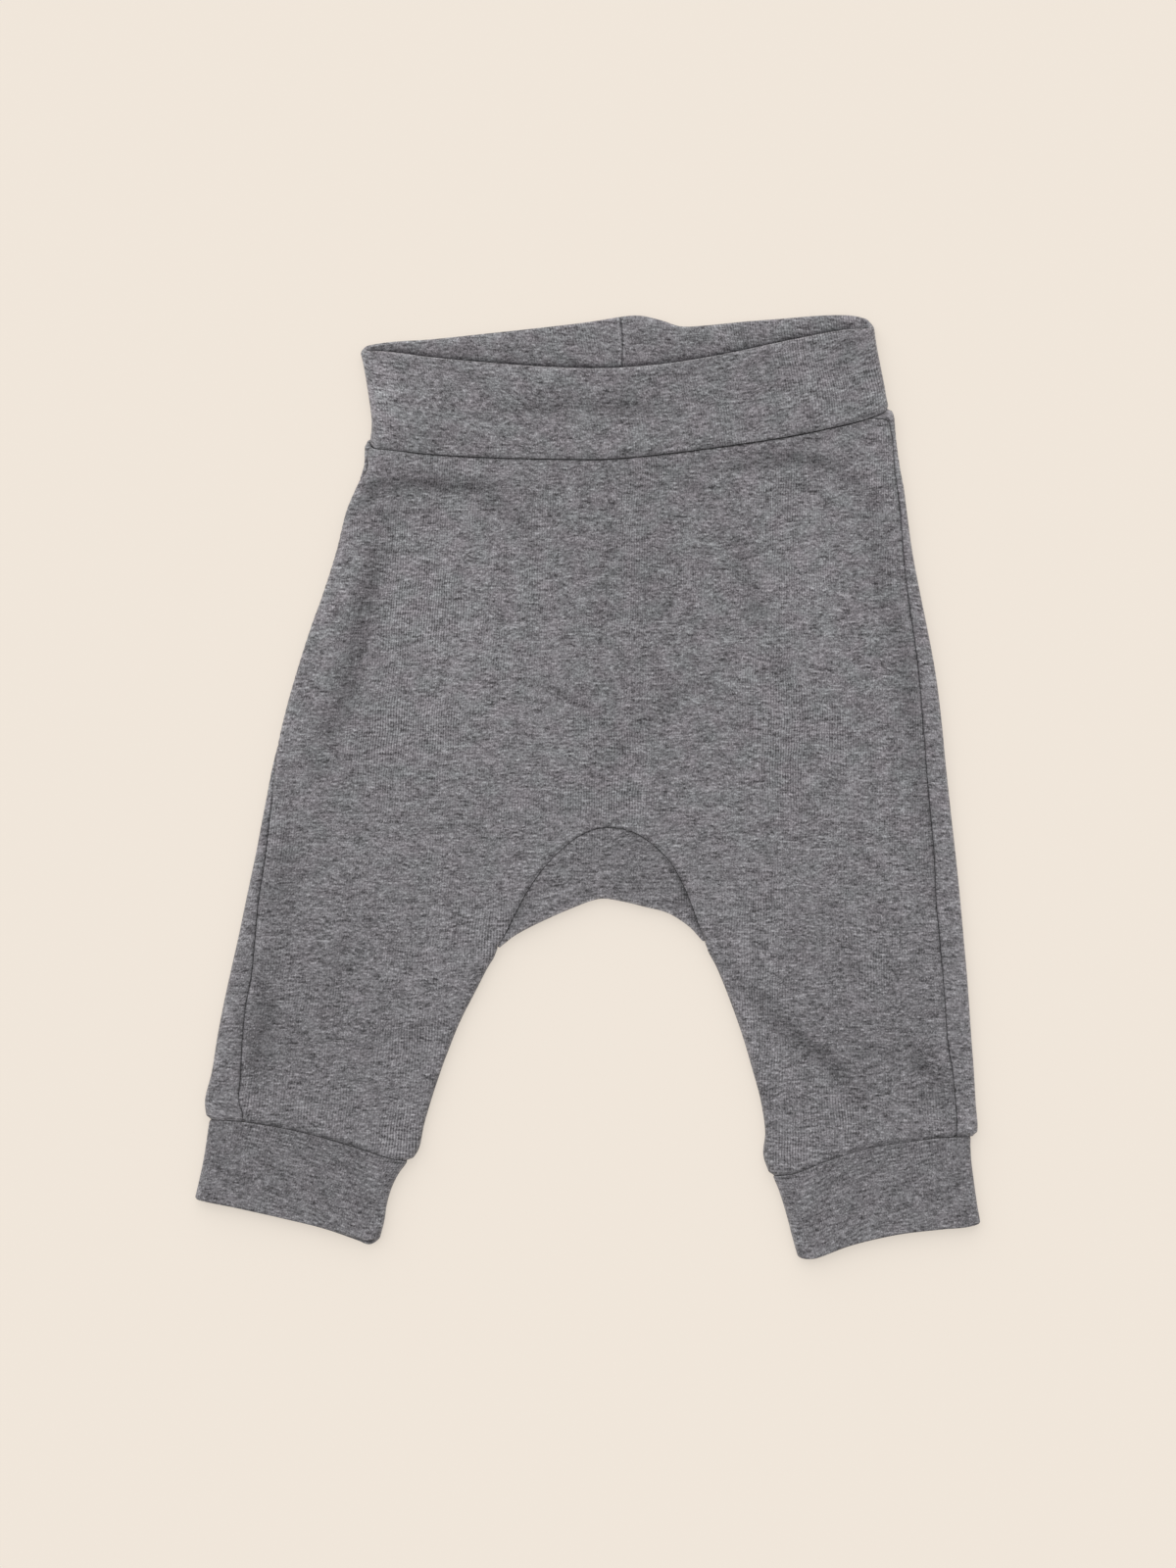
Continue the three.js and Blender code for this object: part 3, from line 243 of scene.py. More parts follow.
HALVES = [Half(-1), Half(1)]

# Outline of the body, for the distance to its folds.
def chain(points):
    return np.concatenate([points[:-1], points[1:]], 1)
OUTLINE = np.concatenate([chain(h.outer(np.linspace(0, 1, 61))) for h in HALVES]
                         + [chain(h.inner_fold(np.linspace(V_TIP, 1, 25))) for h in HALVES]
                         + [chain(crotch_fold(np.linspace(0, 1, 41)))])

def nearest(x, y, lines):
    """Distance to a chain of lines, the nearest point, and how far along the chain it is."""
    shape = np.shape(x); x, y = np.ravel(x), np.ravel(y)
    best = np.full(x.shape, 1e9); px = np.zeros_like(x); py = np.zeros_like(x); where = np.zeros_like(x)
    for j, (ax, ay, bx, by) in enumerate(lines):
        ux, uy = bx - ax, by - ay
        t = np.clip(((x - ax) * ux + (y - ay) * uy) / (ux * ux + uy * uy + 1e-12), 0, 1)
        qx, qy = ax + ux * t, ay + uy * t
        d = (x - qx) ** 2 + (y - qy) ** 2
        m = d < best
        best[m], px[m], py[m], where[m] = d[m], qx[m], qy[m], (j + t)[m] if np.ndim(t) else j + t
    return np.sqrt(best).reshape(shape), px.reshape(shape), py.reshape(shape), (where / len(lines)).reshape(shape)

# ------------------------------------------------------------------ unevenness
def value_noise(x, y, size, seed):
    """Smooth noise from -1 to 1 with features about `size` mm across."""
    g = np.random.RandomState(seed).uniform(-1, 1, (64, 64))
    u, v = np.asarray(x) / size + 100.0, np.asarray(y) / size + 100.0
    i, j = np.floor(u).astype(int), np.floor(v).astype(int)
    f, h = u - i, v - j
    f, h = f * f * f * (f * (6 * f - 15) + 10), h * h * h * (h * (6 * h - 15) + 10)
    at = lambda a, b: g[a % 64, b % 64]
    return mix(mix(at(i, j), at(i + 1, j), f), mix(at(i, j + 1), at(i + 1, j + 1), f), h)

def creases(x, y, rows):
    z = np.zeros(np.shape(x))
    for _, height, half, pts in rows:
        p = np.array(pts, float)
        if len(p) > 2:
            d = np.concatenate([[0], np.cumsum(np.hypot(*np.diff(p, axis=0).T))])
            t = np.linspace(0, d[-1], 16)
            p = np.stack([Curve(d, p[:, 0])(t), Curve(d, p[:, 1])(t)], -1)
        lo, hi = p.min(0) - 3 * half, p.max(0) + 3 * half
        m = (x > lo[0]) & (x < hi[0]) & (y > lo[1]) & (y < hi[1])
        if not m.any(): continue
        d, _, _, w = nearest(x[m], y[m], chain(p))
        fade = np.sin(np.pi * np.clip(w, 0.04, 0.96)) ** 0.6
        z[m] += height * fade * np.exp(-((d / half) ** 2))
    return z

def body_top(x, y):
    """Height of the body's upper face over both layers."""
    d = nearest(x, y, OUTLINE)[0]
    h = BODY_THICK + FOLD_PUFF * np.exp(-(((d - FOLD_R) / FOLD_PUFF_REACH) ** 2))
    h = h + 1.3 * creases(x, y, TOP_CREASES)
    h = h + 0.16 * value_noise(x, y, 34, 3) + 0.10 * value_noise(x, y, 15, 5) + 0.045 * value_noise(x, y, 6.0, 8)
    floor = 2 * JERSEY + 0.45
    return floor + np.logaddexp(0, (h - floor) * 4) / 4      # soft floor: the layers never meet

def body_under(x, y):
    d = nearest(x, y, OUTLINE)[0]
    z = creases(x, y, UNDER_CREASES) + 0.10 * (value_noise(x, y, 26, 31) + 0.6) + 0.05 * (value_noise(x, y, 9, 32) + 0.6)
    return np.clip(z, 0, 1.4) * np.clip((d - 3) / 8, 0, 1)

# ------------------------------------------------------------------ folds
def fold_section(s, top, under, deep):
    """Distance in from the outline and height, for arc distance s round a side fold."""
    a = np.clip(s / QUARTER, -1, 1) * math.pi / 2
    d = np.where(np.abs(s) >= QUARTER, np.abs(s) - QUARTER + FOLD_R, FOLD_R - (FOLD_R - deep) * np.cos(a))
    z_up = FOLD_MID + (top - FOLD_MID - deep) * np.sin(a)
    z_dn = FOLD_MID + (FOLD_MID - under - deep) * np.sin(a)
    return d, np.where(s > 0, z_up, z_dn)

def fold_points(p, u, cos, s, deep, lift=0.0):
    """p on the outline, u the way in, s arc distance: all (rows, cols)."""
    inside = np.maximum(np.abs(s) - QUARTER + FOLD_R, FOLD_R * (1 - np.cos(np.clip(np.abs(s) / QUARTER, 0, 1) * math.pi / 2))) / cos
    x, y = p[..., 0] + u[..., 0] * inside, p[..., 1] + u[..., 1] * inside
    d, z = fold_section(s, body_top(x, y), body_under(x, y), deep)
    return np.stack([p[..., 0] + u[..., 0] * d / cos, p[..., 1] + u[..., 1] * d / cos, z], -1)

def flat_points(x, y, upper, deep):
    d, nx, ny, _ = nearest(x, y, OUTLINE)
    z = body_top(x, y) - deep if upper else body_under(x, y) + deep
    near = (d < FOLD_R) & (d > 1e-6)
    a = np.arccos(np.clip(1 - d / FOLD_R, -1, 1))
    shift = np.where(near, (FOLD_R - (FOLD_R - deep) * np.cos(a)) - d, 0) / np.maximum(d, 1e-6)
    full = body_top(x, y) if upper else body_under(x, y)
    bent = FOLD_MID + (full - FOLD_MID - deep) * np.sin(a) if upper else FOLD_MID - (FOLD_MID - full - deep) * np.sin(a)
    return np.stack([x + (x - nx) * shift, y + (y - ny) * shift, np.where(near, bent, z)], -1)

# ------------------------------------------------------------------ body panels
def graded(n, first, last=None):
    """n+1 places from 0 to 1, with steps of relative size `first` at the start (and `last` at the end), 1 between."""
    i = (np.arange(n) + 0.5) / n
    w = 1 - (1 - first) * np.exp(-((i / 0.10) ** 2))
    if last is not None: w = w * (1 - (1 - last) * np.exp(-(((1 - i) / 0.10) ** 2)))
    c = np.concatenate([[0], np.cumsum(w)]); return c / c[-1]

A_ROWS, B_ROWS, C_ROWS = 132, 60, 90          # waist to apex, apex to tip, tip to hem
def stations():
    top = graded(A_ROWS, 0.18)
    arch = np.linspace(0, 1, B_ROWS + 1)
    hem = 1 - graded(C_ROWS, 0.18)[::-1]
    return np.concatenate([top * V_APEX, mix(V_APEX, V_TIP, arch[1:]), mix(V_TIP, 1, hem[1:])])
V = stations()
APEX_ROW, TIP_ROW = A_ROWS, A_ROWS + B_ROWS

def unit(a):
    return a / np.maximum(np.linalg.norm(a, axis=-1, keepdims=True), 1e-12)

class Sections:
    def __init__(self, h, back, v=V):
        self.h, self.v, self.back = h, v, back
        self.o, self.i = h.outer(v), h.boundary(v, back)
        self.len = np.linalg.norm(self.i - self.o, axis=-1); self.u = unit(self.i - self.o)
        def slant(f):
            t = unit(f(np.minimum(v + 0.01, 1)) - f(np.maximum(v - 0.01, 0)))
            return np.clip(np.abs(t[:, 0] * self.u[:, 1] - t[:, 1] * self.u[:, 0]), 0.6, 1)
        self.cos_out = slant(h.outer)
        self.cos_in = np.where(v > V_TIP, slant(lambda t: h.inner_fold(np.maximum(t, V_TIP))), 1)
    def bend(self, p, share):
        """Bends the section lines so that the first lies on the waist seam and the last on the hem seam."""
        v = self.v[:, None]; h = self.h
        f = np.clip(((p[..., :2] - self.o[:, None]) * self.u[:, None]).sum(-1) / self.len[:, None], 0, 1)
        o0, i0 = self.o[0], self.i[0]
        x0 = mix(o0[0], i0[0], f); line = mix(o0[1], i0[1], f)
        at = np.where(v == 0, p[..., 0], x0)
        target = mix(seam_back(at), seam_front(at), share)
        w = np.clip(1 - v / 0.3, 0, 1) ** 2
        p[..., 1] += (target - line) * w
        p[..., 1] = np.where(v == 0, target, p[..., 1])
        w = np.clip((v - 0.8) / 0.2, 0, 1) ** 2
        p[..., 0] += (h.hem_x(f) - mix(h.hem_x(0.0), h.hem_x(1.0), f)) * w
        p[..., 1] += (h.hem_y(f) - mix(h.hem_y(0.0), h.hem_y(1.0), f)) * w
        return p

def panel_half(h, back):
    s = Sections(h, back); R = len(V); v = V
    side = h.seam(s.o[:, 1])
    col = lambda a: np.broadcast_to(np.asarray(a, float), (R,))[:, None]
    out = []                                              # list of (kind, array)
    if not back:
        n = 24; g = graded(n, 0.3)
        start = mix(col(side + SEAM_GAP / 2), col(np.maximum(side, 0) + RIM_REACH), g[None, :])
        strip = np.maximum(side, 0) + RIM_REACH
    else:
        a = col(side - SEAM_GAP / 2)
        n1, n2 = 15, 18
        reach = np.concatenate([mix(a, np.minimum(a - 0.02, QUARTER), graded(n1, 0.5)[None, :]),
                                mix(np.minimum(a - 0.02, QUARTER), np.full((R, 1), -RIM_REACH), np.linspace(0, 1, n2 + 1)[None, 1:])], 1)
        start = reach; strip = np.full(R, RIM_REACH)
    start_at = (strip - QUARTER + FOLD_R) / s.cos_out
    # inner end
    under = -(QUARTER + INSEAM_UNDER)
    passed = np.clip((v - V_TIP) / (V[TIP_ROW + 9] - V_TIP), 0, 1)
    seam_at = under * (3 * passed ** 2 - 2 * passed ** 3)
    last = seam_at + (-SEAM_GAP / 2 if back else SEAM_GAP / 2)
    nb = 27 if not back else 15
    g = 1 - graded(nb, 0.25)[::-1]
    legs = np.arange(R) >= TIP_ROW
    end_len = np.where(legs, (RIM_REACH - QUARTER + FOLD_R) / s.cos_in, 8.0)
    blend = np.clip((v - V_APEX) / (V_TIP - V_APEX), 0, 1)
    end_s = mix(col(-RIM_REACH if back else RIM_REACH), col(last), g[None, :])
    mids = 96
    t = mix(col(start_at), col(s.len - end_len), np.linspace(0, 1, mids + 1)[None, 1:-1])
    P = {}
    for deep in (0.0, JERSEY):
        share_fold = np.clip(0.5 + start / QUARTER / 2, 0, 1)
        p = fold_points(s.o[:, None], s.u[:, None] * np.ones_like(start)[..., None], s.cos_out[:, None], start, deep)
        p1 = s.bend(p, share_fold)
        x = s.o[:, None, 0] + s.u[:, None, 0] * t; y = s.o[:, None, 1] + s.u[:, None, 1] * t
        sh = 0.0 if back else 1.0
        p2 = s.bend(flat_points(x, y, not back, deep), sh)
        pl = fold_points(s.i[:, None], -s.u[:, None] * np.ones_like(end_s)[..., None], s.cos_in[:, None], end_s, deep)
        gap = np.where(np.arange(R) > APEX_ROW, SEAM_GAP / 2, 0)[:, None]
        back_off = end_len[:, None] * (1 - g[None, :]) + gap
        xf = s.i[:, None, 0] - s.u[:, None, 0] * back_off; yf = s.i[:, None, 1] - s.u[:, None, 1] * back_off
        pf = flat_points(xf, yf, not back, deep)
        pe = np.where(legs[:, None, None], pl, pf)
        p3 = s.bend(pe, sh)
        q = np.concatenate([p1, p2, p3], 1)
        q[:APEX_ROW + 1, -1, 0] = CENTRE_X
        P[deep] = q
    return P[0.0], P[JERSEY], s.u

# ------------------------------------------------------------------ seams
def lengths(P, axis):
    d = np.linalg.norm(np.diff(P, axis=axis), axis=-1)
    z = np.zeros_like(np.take(d, [0], axis)); c = np.concatenate([z, np.cumsum(d, axis)], axis)
    return c, np.take(c, [-1], axis) - c

def normals(P):
    a = np.gradient(P, axis=1); b = np.gradient(P, axis=0)
    n = np.cross(a, b); return n / np.maximum(np.linalg.norm(n, axis=-1, keepdims=True), 1e-9)

def groove(d, depth, width):
    return depth * np.exp(-((d / width) ** 1.6))

def sink(P, Q, amount):
    """Moves the outer face inwards by `amount`, along the way from outer to inner face."""
    w = unit(Q - P); return P + w * amount[..., None]

# ------------------------------------------------------------------ meshes
class Cloth:
    """Outer net of cells, a coarser inner net, and the rims between them."""
    shift, rows = 0.0, None            # the whole piece a little darker or paler all over; rows: the creases whose painted shade goes into its colour
    def __init__(self): self.v, self.uv, self.seam, self.rib, self.dye, self.quads, self.polys, self.n = [], [], [], [], [], [], [], 0
    def points(self, P, uv, seam, painted_light_and_shade=0.0):
        shape = P.shape[:2]; ids = np.arange(self.n, self.n + shape[0] * shape[1]).reshape(shape)
        self.v.append(P.reshape(-1, 3)); self.uv.append(np.broadcast_to(uv, shape + (2,)).reshape(-1, 2))
        # the dye attribute holds painted light and shade plus the piece's overall shift
        self.seam.append(np.broadcast_to(seam, shape).reshape(-1)); self.rib.append(open_wales(P).reshape(-1)); self.dye.append((dye(P, self.rows) + 2.5 * painted_light_and_shade).reshape(-1) + self.shift / 2)
        self.n += shape[0] * shape[1]
        return ids
    def cells(self, ids, flip, wrap=False):
        if wrap: ids = np.concatenate([ids, ids[:, :1]], 1)
        q = np.stack([ids[:-1, :-1], ids[:-1, 1:], ids[1:, 1:], ids[1:, :-1]], -1).reshape(-1, 4)
        self.quads.append(q[:, ::-1] if flip else q)
    def rim(self, fine, coarse, flip):
        """fine: outer ids along an edge, coarse: inner ids, one for COARSE fine steps."""
        k = (len(fine) - 1) // (len(coarse) - 1)
        for j in range(len(coarse) - 1):
            f = list(fine[j * k:(j + 1) * k + 1]) + [coarse[j + 1], coarse[j]]
            self.polys.append([int(a) for a in (f[::-1] if flip else f)])
    def build(self, name, material, uv_wrap=None):
        v = np.concatenate(self.v) + SHIFT; v[:, 2] = np.maximum(v[:, 2], 0); uv = np.concatenate(self.uv); seam = np.concatenate(self.seam)
        quads = np.concatenate(self.quads)
        me = bpy.data.meshes.new(name)
        faces = quads.tolist() + self.polys
        me.from_pydata((v * MM).tolist(), [], faces)
        loops = np.zeros(len(me.loops), np.int32); me.loops.foreach_get("vertex_index", loops)
        c = uv[loops]
        if uv_wrap is not None:                       # cells that close a tube
            starts = np.zeros(len(me.polygons), np.int32); me.polygons.foreach_get("loop_start", starts)
            totals = np.zeros(len(me.polygons), np.int32); me.polygons.foreach_get("loop_total", totals)
            face = np.repeat(np.arange(len(starts)), totals)
            big = np.zeros(len(starts)); np.maximum.at(big, face, c[:, 0])
            low = (big[face] - c[:, 0]) > uv_wrap / 2
            c = c.copy(); c[low, 0] += uv_wrap
        layer = me.uv_layers.new(name="Grain"); layer.uv.foreach_set("vector", c.astype(np.float32).ravel())
        for n, x in (("seam", seam), ("rib", np.concatenate(self.rib)), ("dye", np.concatenate(self.dye))):
            me.attributes.new(n, "FLOAT", "POINT").data.foreach_set("value", x.astype(np.float32))
        me.polygons.foreach_set("use_smooth", np.ones(len(me.polygons), bool))
        me.validate(); me.update()
        used = np.zeros(len(me.vertices), bool); used[loops] = True
        ob = bpy.data.objects.new(name, me); scene.collection.objects.link(ob)
        if not used.all():
            import bmesh
            bm = bmesh.new(); bm.from_mesh(me)
            bmesh.ops.delete(bm, geom=[w for w in bm.verts if not w.link_faces], context="VERTS")
            bm.to_mesh(me); bm.free()
        me.materials.append(material)
        return ob

def open_wales(P):
    """0 to 1: where the cloth is pulled a little and its columns of stitches show more."""
    x, y = P[..., 0], P[..., 1]
    spots = [(-52, 70, 26, 34, 0.75), (-62, 20, 20, 30, 0.45), (60, -95, 12, 40, 0.6), (80, 148, 24, 10, 0.6), (-30, -60, 12, 16, 0.5),
             (-62, -96, 12, 22, 0.5), (-66, -127, 7, 11, 1.2), (104, 148, 5, 15, 1.1), (78, 164, 16, 5, 0.6), (70, 40, 20, 40, 0.35), (100, -118, 22, 8, 0.15), (73, -132, 8, 8, 0.9), (-104, -116, 22, 7, 0.4), (0, -5, 18, 8, 0.5)]
    r = np.zeros(x.shape)
    for cx, cy, sx, sy, k in spots: r = np.maximum(r, k * np.exp(-((x - cx) / sx) ** 2 - ((y - cy) / sy) ** 2))
    return r + 0.12

def grain(P, u=None):
    """Cloth coordinates of the body, in mm: across and along the wales, which fan out a little.
    u: the section lines' directions; with them x goes on round the side folds."""
    x, y = P[..., 0], P[..., 1]
    if u is not None:
        mid = P.shape[1] // 2
        step = np.linalg.norm(np.diff(P, axis=1), axis=-1) * u[:, None, 0]
        c = np.concatenate([np.zeros((len(P), 1)), np.cumsum(step, 1)], 1)
        x = x[:, mid:mid + 1] + c - c[:, mid:mid + 1]
    return np.stack([x - y * (0.05 - 0.0006 * x), y + 0.0 * x], -1)

def dye(P, rows=None):
    """Painted light and shade: broad patches lighter or darker, and the creases' troughs darker and their ridges
    lighter; about 0 to 1 round a half.
    """
    x, y = P[..., 0], P[..., 1]
    t = np.zeros(x.shape)
    # painted light and shade: broad patches lighter or darker
    for cx, cy, sx, sy, k in PAINTED_PATCHES: t += k * np.exp(-((x - cx) / sx) ** 2 - ((y - cy) / sy) ** 2)
    # painted shade in the creases' troughs and painted light on their ridges, on the upper face only
    if P.shape[1] > 1 and rows is not None: t += 0.105 * np.clip(creases(x, y, rows), -1.4, 0.5) * (P[..., 2] > 2.0)
    return 0.5 + t * 2.5

# ------------------------------------------------------------------ materials
LOOK = dict(dark=(0.0455, 0.0438, 0.0458), light=(0.474, 0.457, 0.478), base=0.340, gain=0.497, skew=0.2,
            run=1.8, dash=1.75, fleck=1.8, cloud=1.0, hairs=2.8, glint=1.7, wale=0.30, wale0=0.035, stitch=0.03,
            hue=1.0, hue_low=None)

def jersey(name, seed, **over):
    """Grey melange jersey: yarn mixed of dark and light fibre, knitted in fine columns of stitches.
    It reads the cloth's own coordinates in mm from the UV map "Grain", u across the wales and v along them."""
    q = dict(LOOK); q.update(over)
    m = bpy.data.materials.new(name); m.use_nodes = True
    nt = m.node_tree; nt.nodes.clear(); N = nt.nodes.new; L = nt.links.new
    out = N("ShaderNodeOutputMaterial"); bsdf = N("ShaderNodeBsdfPrincipled"); L(bsdf.outputs[0], out.inputs[0])
    def put(sock, x):
        if isinstance(x, (int, float)): sock.default_value = x
        else: L(x, sock)
    def M(op, a, b=0.0, c=0.0, clamp=False):
        n = N("ShaderNodeMath"); n.operation = op; n.use_clamp = clamp
        for i, x in enumerate((a, b, c)): put(n.inputs[i], x)
        return n.outputs[0]
    def vec(x, y, z=0.0):
        n = N("ShaderNodeCombineXYZ")
        for i, k in enumerate((x, y, z)): put(n.inputs[i], k)
        return n.outputs[0]
    def noise(x, y, z=0.0, detail=0.0, rough=0.5):
        n = N("ShaderNodeTexNoise"); n.inputs["Scale"].default_value = 1.0; n.inputs["Detail"].default_value = detail
        n.inputs["Roughness"].default_value = rough; L(vec(x, y, z), n.inputs["Vector"])
        return M("SUBTRACT", n.outputs["Fac"], 0.5)
    def colour_mix(kind="MIX"):
        n = N("ShaderNodeMix"); n.data_type = "RGBA"; n.blend_type = kind; return n
    uvn = N("ShaderNodeUVMap"); uvn.uv_map = "Grain"
    sep = N("ShaderNodeSeparateXYZ"); L(uvn.outputs[0], sep.inputs[0]); u0, v0 = sep.outputs[0], sep.outputs[1]
    # the knit wanders a little
    u = M("MULTIPLY_ADD", noise(M("MULTIPLY", u0, 0.06), M("MULTIPLY", v0, 0.06), seed, 1.0), 2.4, u0)
    v = M("MULTIPLY_ADD", noise(M("MULTIPLY", u0, 0.07), M("MULTIPLY", v0, 0.07), seed + 9, 1.0), 2.2, v0)
    WALE, COURSE = 0.93, 0.78
    frac = M("FRACT", M("DIVIDE", u, WALE)); mid = M("ABSOLUTE", M("SUBTRACT", frac, 0.5))
    ridge = M("COSINE", M("MULTIPLY", mid, 2 * math.pi))                  # each wale a rounded column
    arms = M("MULTIPLY_ADD", mid, -1.5, M("DIVIDE", v, COURSE))           # its stitches lean in to a V
    stitch = M("SINE", M("MULTIPLY", arms, 2 * math.pi))
    course = M("FLOOR", M("MULTIPLY_ADD", mid, -0.8, M("DIVIDE", v, COURSE)))
    run = noise(M("MULTIPLY", u, 0.24), M("MULTIPLY", course, 7.31), seed + 3, 2.0, 0.62)     # one yarn along its course
    dash = noise(M("MULTIPLY", u, 0.62), M("MULTIPLY", v, 1.25), seed + 4, 1.0, 0.6)
    fleck = noise(M("MULTIPLY", u, 2.1), M("MULTIPLY", v, 1.25), seed + 5, 1.0, 0.6)
    cloud = noise(M("MULTIPLY", u, 0.13), M("MULTIPLY", v, 0.30), seed + 7, 2.0, 0.6)
    thread = noise(M("MULTIPLY", u, 0.30), M("MULTIPLY", v, 1.6), seed + 13, 0.0)             # a few long dark or light hairs
    hairs = M("MULTIPLY", M("MAXIMUM", M("SUBTRACT", M("ABSOLUTE", thread), 0.17), 0.0), M("SIGN", thread))
    patch = noise(M("MULTIPLY", u0, 0.035), M("MULTIPLY", v0, 0.03), seed + 8, 1.0)
    rib = N("ShaderNodeAttribute"); rib.attribute_name = "rib"                                 # where the wales stand open
    ribbed = M("ADD", M("MULTIPLY", M("MULTIPLY_ADD", patch, 2.2, rib.outputs["Fac"], clamp=True), q["wale"]), q["wale0"])
    glint = M("MAXIMUM", M("SUBTRACT", M("MULTIPLY_ADD", dash, 0.6, fleck), 0.13), 0.0)
    tone = M("MULTIPLY", run, q["run"])
    for part, weight in ((dash, q["dash"]), (fleck, q["fleck"]), (cloud, q["cloud"]), (hairs, q["hairs"]),
                         (glint, q["glint"]), (ridge, ribbed), (stitch, q["stitch"])):
        tone = M("MULTIPLY_ADD", part, weight, tone)
    bent = M("MULTIPLY_ADD", M("MULTIPLY", tone, tone), q["skew"], tone)
    fac = M("MULTIPLY_ADD", bent, q["gain"], q["base"], clamp=True)
    yarn = colour_mix(); L(fac, yarn.inputs["Factor"])
    yarn.inputs["A"].default_value = (*q["dark"], 1); yarn.inputs["B"].default_value = (*q["light"], 1)
    tint = colour_mix(); tint.inputs["A"].default_value = (1.018, 0.988, 1.005, 1); tint.inputs["B"].default_value = (0.978, 1.016, 1.006, 1)
    warm = noise(M("MULTIPLY", u0, 0.10), M("MULTIPLY", v0, 0.12), seed + 15, 1.0)
    drift = M("MULTIPLY_ADD", tone, 0.3, M("MULTIPLY", warm, 2.6))
    if q["hue_low"] is None: drift = M("MULTIPLY", drift, q["hue"])
    else:                                                                  # the shades lie closer together low on the legs
        drift = M("MULTIPLY", drift, M("MULTIPLY_ADD", M("MULTIPLY_ADD", v0, 1 / 60, 0.85, clamp=True), q["hue"] - q["hue_low"], q["hue_low"]))
    L(M("ADD", drift, 0.42, clamp=True), tint.inputs["Factor"])
    hue = colour_mix("MULTIPLY"); hue.inputs["Factor"].default_value = 1.0
    L(yarn.outputs["Result"], hue.inputs["A"]); L(tint.outputs["Result"], hue.inputs["B"])
    seam = N("ShaderNodeAttribute"); seam.attribute_name = "seam"          # shade in the seams' slits
    dim = colour_mix("MULTIPLY"); L(seam.outputs["Fac"], dim.inputs["Factor"])
    L(hue.outputs["Result"], dim.inputs["A"]); dim.inputs["B"].default_value = (0.25, 0.245, 0.255, 1)
    depth = N("ShaderNodeAttribute"); depth.attribute_name = "dye"         # painted light and shade: broad areas, creases and fold edges a little lighter or darker
    light_shade_mix = colour_mix(); L(depth.outputs["Fac"], light_shade_mix.inputs["Factor"])
    light_shade_mix.inputs["A"].default_value = (0.6, 0.6, 0.6, 1); light_shade_mix.inputs["B"].default_value = (1.4, 1.4, 1.4, 1)
    last = colour_mix("MULTIPLY"); last.inputs["Factor"].default_value = 1.0
    L(dim.outputs["Result"], last.inputs["A"]); L(light_shade_mix.outputs["Result"], last.inputs["B"])
    L(last.outputs["Result"], bsdf.inputs["Base Color"])
    bsdf.inputs["Roughness"].default_value = 0.93
    bsdf.inputs["Specular IOR Level"].default_value = 0.18
    bsdf.inputs["Sheen Weight"].default_value = 0.2
    bsdf.inputs["Sheen Roughness"].default_value = 0.5
    # relief: the columns, the stitches, the yarn's unevenness and its short fibres
    fibre = noise(M("MULTIPLY", u, 3.4), M("MULTIPLY", v, 5.0), seed + 11, 2.0, 0.65)
    relief = M("MULTIPLY", ridge, 0.30)
    for part, weight in ((stitch, 0.26), (dash, 0.9), (fibre, 1.0)): relief = M("MULTIPLY_ADD", part, weight, relief)
    bump = N("ShaderNodeBump"); bump.inputs["Strength"].default_value = 0.5; bump.inputs["Distance"].default_value = 0.00022
    L(relief, bump.inputs["Height"]); L(bump.outputs[0], bsdf.inputs["Normal"])
    return m

mat_body = jersey("jersey_body", 1.0, hue=1.1, hue_low=0.42)
mat_gusset = jersey("jersey_gusset", 21.0, hue=0.42)
mat_band = jersey("jersey_band", 41.0, hue=1.2)
mat_cuff = jersey("jersey_cuff", 61.0, hue=0.45)

# ------------------------------------------------------------------ front and back
def swelling(d, height, reach):
    """A soft swelling that starts a little way in from a seam and dies away over `reach`."""
    t = np.clip((d - 0.3) / 1.3, 0, 1)
    return height * t * t * (3 - 2 * t) * np.exp(-((np.maximum(d - 1.7, 0) / reach) ** 2))

def seam_shape(P, Q, edges, seed):
    """Sinks the outer face at the piece's seams, swells it beside them and puckers it a little.
    edges: (distance to the seam, place along it, depth, shade in its slit, height and reach of the swelling)."""
    amount = np.zeros(P.shape[:2]); dark = np.zeros(P.shape[:2])
    for k, (d, along_, depth, shade, swell, reach) in enumerate(edges):
        uneven = 1 + 0.35 * value_noise(along_, along_ * 0, 9.0, seed + k)
        puff = swelling(d, swell, reach) * (1 + 0.45 * value_noise(along_, along_ * 0, 17.0, seed + 20 + k) + 0.25 * value_noise(along_, along_ * 0, 6.0, seed + 30 + k))
        pucker = 0.07 * np.sin(2 * math.pi * along_ / 3.1 + 2.2 * value_noise(along_, along_ * 0, 11.0, seed + 40 + k)) * np.exp(-((d / 3.0) ** 2))
        amount += groove(d, depth, 0.55) * uneven - puff - pucker
        dark = np.maximum(dark, np.exp(-((d / 0.30) ** 2)) * shade * uneven)
    return sink(P, Q, amount), dark

